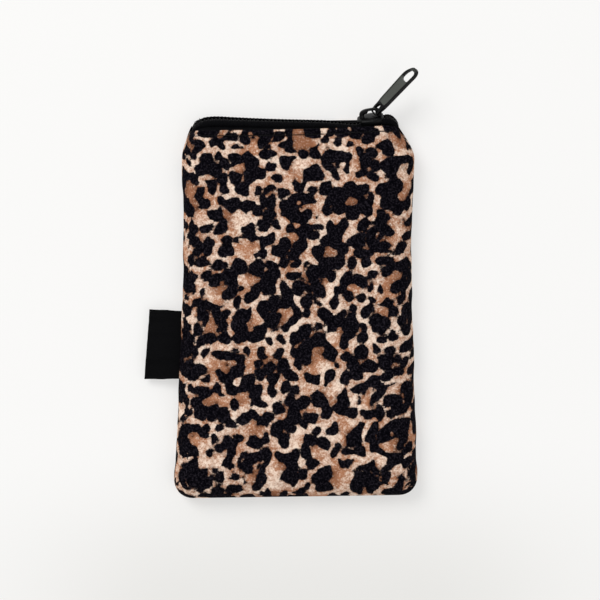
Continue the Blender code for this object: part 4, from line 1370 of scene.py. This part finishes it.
def slider_shell():
    """The slider's flat lower plate, its domed upper one, its flanges and the neck between its channels."""
    body = upright_prism("slider_shell", [(slider_oval(inset), height) for inset, height in SLIDER_LEVELS])
    far = SLIDER_WIDTH

    def block(half_x, half_y, low, high, middle=0.0):
        outline = ((middle - half_x, -half_y), (middle + half_x, -half_y), (middle + half_x, half_y),
                   (middle - half_x, half_y))
        return upright_prism("block", ((outline, low), (outline, high)))

    post = block(POST_LENGTH / 2, POST_HALF, CHANNEL_LOW - 0.0002, CHANNEL_TOP + 0.0002, POST_X + POST_LENGTH / 2)
    cuts = (("DIFFERENCE", block(far, CHANNEL_HALF, CHANNEL_LOW, CHANNEL_TOP)),
            ("DIFFERENCE", block(far, far, CHANNEL_LOW + 0.00001, SLOT_TOP)), ("UNION", post))
    return on_the_zip(carved("slider_shell", body, cuts), SLIDER_ROLL, SLIDER_DROP)


def pull_bridge():
    """The arch over the slider: a flat wire with round edges that widens into its two feet."""
    half = (BRIDGE_LENGTH - BRIDGE_STRAP) / 2
    height = BRIDGE_WINDOW + BRIDGE_STRAP / 2
    turns = np.linspace(0, math.pi, 41)
    x = squared(np.cos(turns), ARCH_POWER) * half
    z = np.abs(np.sin(turns)) ** ARCH_POWER * height + BRIDGE_FOOT
    foot = np.linspace(SLIDER_TOP - BRIDGE_ROOT, BRIDGE_FOOT, 5)[:-1]
    line = np.stack((np.concatenate((np.full(4, x[0]), x, np.full(4, x[-1]))) + BRIDGE_SHIFT,
                     np.concatenate((foot, z, foot[::-1]))), axis=1)
    heading = np.gradient(line, axis=0)
    heading /= np.linalg.norm(heading, axis=1, keepdims=True)
    rings = []
    for (along, out), (run, rise) in zip(line, heading):
        spread = 1 + 0.35 * smooth((BRIDGE_FOOT + 0.0004 - out) / 0.0009)
        filled = 1 + 2.0 * (smooth((-along - 0.0004) / 0.0010) + smooth((along - 0.0024) / 0.0008))
        ring = []
        for turn in round_turns(16):
            deep = squared(math.cos(turn), WIRE_POWER) * BRIDGE_STRAP / 2
            deep *= filled if deep > 0 else 1
            wide = squared(math.sin(turn), WIRE_POWER) * BRIDGE_WIDTH / 2 * spread
            ring.append((along - rise * deep, wide, out + run * deep))
        rings.append(ring)
    return on_the_zip(closed_tube("pull_bridge", np.array(rings)))


def pull_sides(y):
    """Where the pull's left and right edges are at places along it; its head is egg-shaped and off its middle."""
    y = np.asarray(y, float)
    wide = mix(PULL_NECK, PULL_HEAD, np.clip((y - 0.002) / 0.021, 0, 1))
    wide = wide - PULL_CORNER * (1 - np.sqrt(1 - np.clip(1 - (y + PULL_BAR_HALF) / PULL_CORNER, 0, 1) ** 2))
    shift = PULL_SHIFT * smooth((y - 0.001) / 0.004) + 0.0005 * np.clip((y - 0.008) / 0.018, 0, 1)
    shift = shift + 0.0005 * smooth((y - PULL_REACH + 0.005) / 0.005)
    edges = []
    for sign, rounding in ((-1, LONG_ROUNDING), (1, SHORT_ROUNDING)):
        near_tip = np.clip((y - PULL_REACH + rounding) / rounding, 0, 1)
        edges.append(shift + sign * wide * np.sqrt(1 - near_tip ** 2))
    return edges


def rounded_box(low_x, high_x, low_y, high_y, radius):
    """A rectangle with round corners."""
    points = []
    for x, y, first in ((high_x - radius, high_y - radius, 0), (low_x + radius, high_y - radius, 1),
                        (low_x + radius, low_y + radius, 2), (high_x - radius, low_y + radius, 3)):
        for turn in np.linspace(first, first + 1, 6) * math.pi / 2:
            points.append((x + radius * math.cos(turn), y + radius * math.sin(turn)))
    return points


def pull_blade():
    """The pull before its openings are cut: rounded slabs set from its end bar to its tip."""
    turns = np.linspace(0, math.pi / 2, 9)
    tip = PULL_REACH - LONG_ROUNDING
    y = np.concatenate((-PULL_BAR_HALF * np.cos(turns), np.linspace(0.0001, tip, 40),
                        tip + LONG_ROUNDING * np.sin(np.linspace(0, math.pi / 2, 26)[1:])))
    left, right = pull_sides(y)
    half = np.interp(y, (0.0009, 0.0026, 0.0048, 0.0075), (PULL_BAR_HALF, 0.00075, 0.00092, PULL_HALF))
    half = half * np.sqrt(1 - np.clip(-y / PULL_BAR_HALF, 0, 0.999) ** 2)
    half = half * np.sqrt(1 - np.clip((y - PULL_REACH + 0.0005) / 0.0006, 0, 1) ** 2)
    rings = []
    for place, low_x, high_x, thick in zip(y, left, right, half):
        radius = min(PULL_EDGE, thick * 0.9, max(high_x - low_x, PULL_LEAST) * 0.45)
        outline = rounded_box(low_x, max(high_x, low_x + PULL_LEAST), -thick, thick, radius)
        rings.append([(x, place, z) for x, z in outline])
    return closed_tube("long_pull", np.array(rings))


def there_and_back(low_x, high_x, y):
    """An outline up one edge and down the other."""
    return list(zip(low_x, y)) + list(zip(high_x, y))[::-1]


def blade_outline(start, end, rim, start_corner, end_corner):
    """An outline inside the pull's edges, with round corners."""
    y = mix(start, end, (1 - np.cos(np.linspace(0, math.pi, 33))) / 2)
    left, right = pull_sides(y)
    for depth, corner in ((y - start, start_corner), (end - y, end_corner)):
        rim = rim + corner * (1 - np.sqrt(1 - np.clip(1 - depth / corner, 0, 1) ** 2))
    return there_and_back(left + rim, right - rim, y)


def eye_outline(wider):
    """The eye: wide round the bridge and narrower above it, with a round end."""
    y = mix(PULL_BAR_HALF, EYE_END + wider, (1 - np.cos(np.linspace(0, math.pi, 25))) / 2)
    half = mix(EYE_HALF, EYE_NARROWING * EYE_HALF, smooth((y - 0.0022) / 0.0028)) + wider
    half = half * np.sqrt(1 - 0.8 * np.clip(1 - (EYE_END + wider - y) / 0.0009, 0, 1) ** 2)
    return there_and_back(-half, half, y)


def window_outline(wider):
    """The window in the pull's head."""
    return blade_outline(PULL_WINDOW_START - wider, PULL_WINDOW_END + wider, PULL_RIM - wider, 0.0016 + wider,
                         0.0009 + wider)


def flared_hole(outline_for):
    """A cutter whose opening widens a little at both faces of the pull."""
    layers = [(outline_for(wider), height * PULL_HALF) for height, wider in ((4, 0.0003), (1, 0.00012), (0.84, 0.0))]
    layers += [(outline, -height) for outline, height in reversed(layers)]
    return upright_prism("hole", layers)


def sunk_face(sign):
    """A cutter for the shallow face between the eye and the window, with sloping sides."""
    layers = []
    for spread, height in ((-0.00008, PULL_HALF - PULL_RECESS), (0.00008, PULL_HALF), (0.0002, 4 * PULL_HALF)):
        line = blade_outline(FACE_START, PULL_WINDOW_START + 0.0018, PULL_RIM - spread, 0.0006, 0.0003)
        layers.append((line, sign * height))
    return upright_prism("face", layers)


def long_pull():
    """The long pull: an end bar inside the bridge, a blade with a sunk face on both sides, and a window."""
    cutters = (flared_hole(eye_outline), sunk_face(1), sunk_face(-1), flared_hole(window_outline))
    mesh = carved("long_pull", pull_blade(), [("DIFFERENCE", cutter) for cutter in cutters])
    points = points_of(mesh)
    # Painted sheen: full grey on the sunk faces, half on the rim's flat tops, none on the side walls, only along the
    # head
    depth = PULL_HALF - np.abs(points[:, 2])
    sheen_share = np.where(np.abs(depth - PULL_RECESS) < 0.00003, 1.0, np.where(depth < 0.00004, 0.5, 0.0))
    mark(mesh, "sunk", sheen_share * (points[:, 1] > FACE_START - 0.0002))
    return placed(mesh, PULL_HINGE, PULL_BAR, PULL_TOWARDS)


def slider_pieces(paint):
    for mesh, node, body in ((slider_shell(), "slider_body", "slider"), (pull_bridge(), "slider_bridge", "slider"),
                             (long_pull(), "pull_tab", "pull")):
        piece = show(mesh, paint)
        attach(piece, body)
        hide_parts(node)


# The studio: the floor's half width, two round lamps with their places, widths and watts, and the camera
FLOOR_HALF = 3.0
FLOOR_DROP = 0.0002
SKY_STRENGTH = 0.60
LAMPS = (("window", (-1.50, 1.70, 2.50), 1.8, 56.0), ("fill", (1.6, -1.0, 2.8), 2.4, 12.0))
CAMERA_PLACE = (0.00188, 0.00537, 0.8055)
CAMERA_TURN = math.radians(-0.85)
CAMERA_LENS = 106.7


def studio():
    """The pale floor, the soft light from the upper left, and the camera above the pouch."""
    floor_mesh = bpy.data.meshes.new("floor")
    corners = [(FLOOR_HALF * x, FLOOR_HALF * y, 0) for x, y in ((-1, -1), (1, -1), (1, 1), (-1, 1))]
    floor_mesh.from_pydata(corners, [], [(0, 1, 2, 3)])
    floor_mesh.materials.append(floor_finish())
    floor = in_scene("floor", floor_mesh)
    floor.location.z = -FLOOR_DROP

    world = bpy.data.worlds.new("studio")
    world.use_nodes = True
    sky = world.node_tree.nodes["Background"]
    sky.inputs["Color"].default_value = (1.0, 1.0, 1.0, 1.0)
    sky.inputs["Strength"].default_value = SKY_STRENGTH
    bpy.context.scene.world = world
    for name, place, size, power in LAMPS:
        lamp = bpy.data.lights.new(name, "AREA")
        lamp.shape = "DISK"
        lamp.size = size
        lamp.energy = power
        light = in_scene(name, lamp)
        light.location = place
        light.rotation_euler = (-Vector(place)).to_track_quat("-Z", "Y").to_euler()

    camera_data = bpy.data.cameras.new("camera")
    camera_data.sensor_width = 36.0
    camera_data.lens = CAMERA_LENS
    camera = in_scene("camera", camera_data)
    camera.location = CAMERA_PLACE
    camera.rotation_euler = (0.0, 0.0, CAMERA_TURN)
    bpy.context.scene.camera = camera
    bpy.context.scene.view_settings.view_transform = "Standard"


def dress():
    """Makes the finishes, then every piece in its place, then the studio round them."""
    knit = knit_finish()
    tape = tape_finish()
    nylon = nylon_finish()
    thread = thread_finish()
    paint = paint_finish()
    lining = lining_finish()
    foam = foam_finish()
    pictures = spotted_print()
    winding = winding_form(nylon)
    stitches = stitch_form(thread)
    foam_inset = OUTER_FABRIC + CLEARANCE
    lining_inset = foam_inset + FOAM + 2 * CLEARANCE
    tape_inset = MARGIN_DEPTH + TAPE / 2 + CLEARANCE
    for side, word in ((1, "front"), (-1, "back")):
        printed_panel(side, word, knit, pictures)
        padding = plain_layer(word + "_padding", word + "_foam", side, foam_inset, foam_inset, FOAM,
                              POUCH_LENGTH - FOAM_DROP, foam, FOAM_GRID)
        plain_layer(word + "_inner_cloth", word + "_lining", side, lining_inset, tape_inset, LINING,
                    POUCH_LENGTH - LINING_DROP, lining, LINING_GRID)
        tape_margin(side, word, tape)
        tape_lips(side, word, tape)
        coil_windings(side, word, winding, nylon)
        filler_cords(side, word, tape)
        coil_covers(side, word, tape)
        topstitches(side, word, stitches, thread)
    end = MOUTH_WIDTH / 2 - END_STITCH_GAP
    end_stitches("left", -end, stitches, thread)
    end_stitches("right", end, stitches, thread)
    ribbon_label(ribbon_finish())
    slider_pieces(paint)
    studio()


dress()
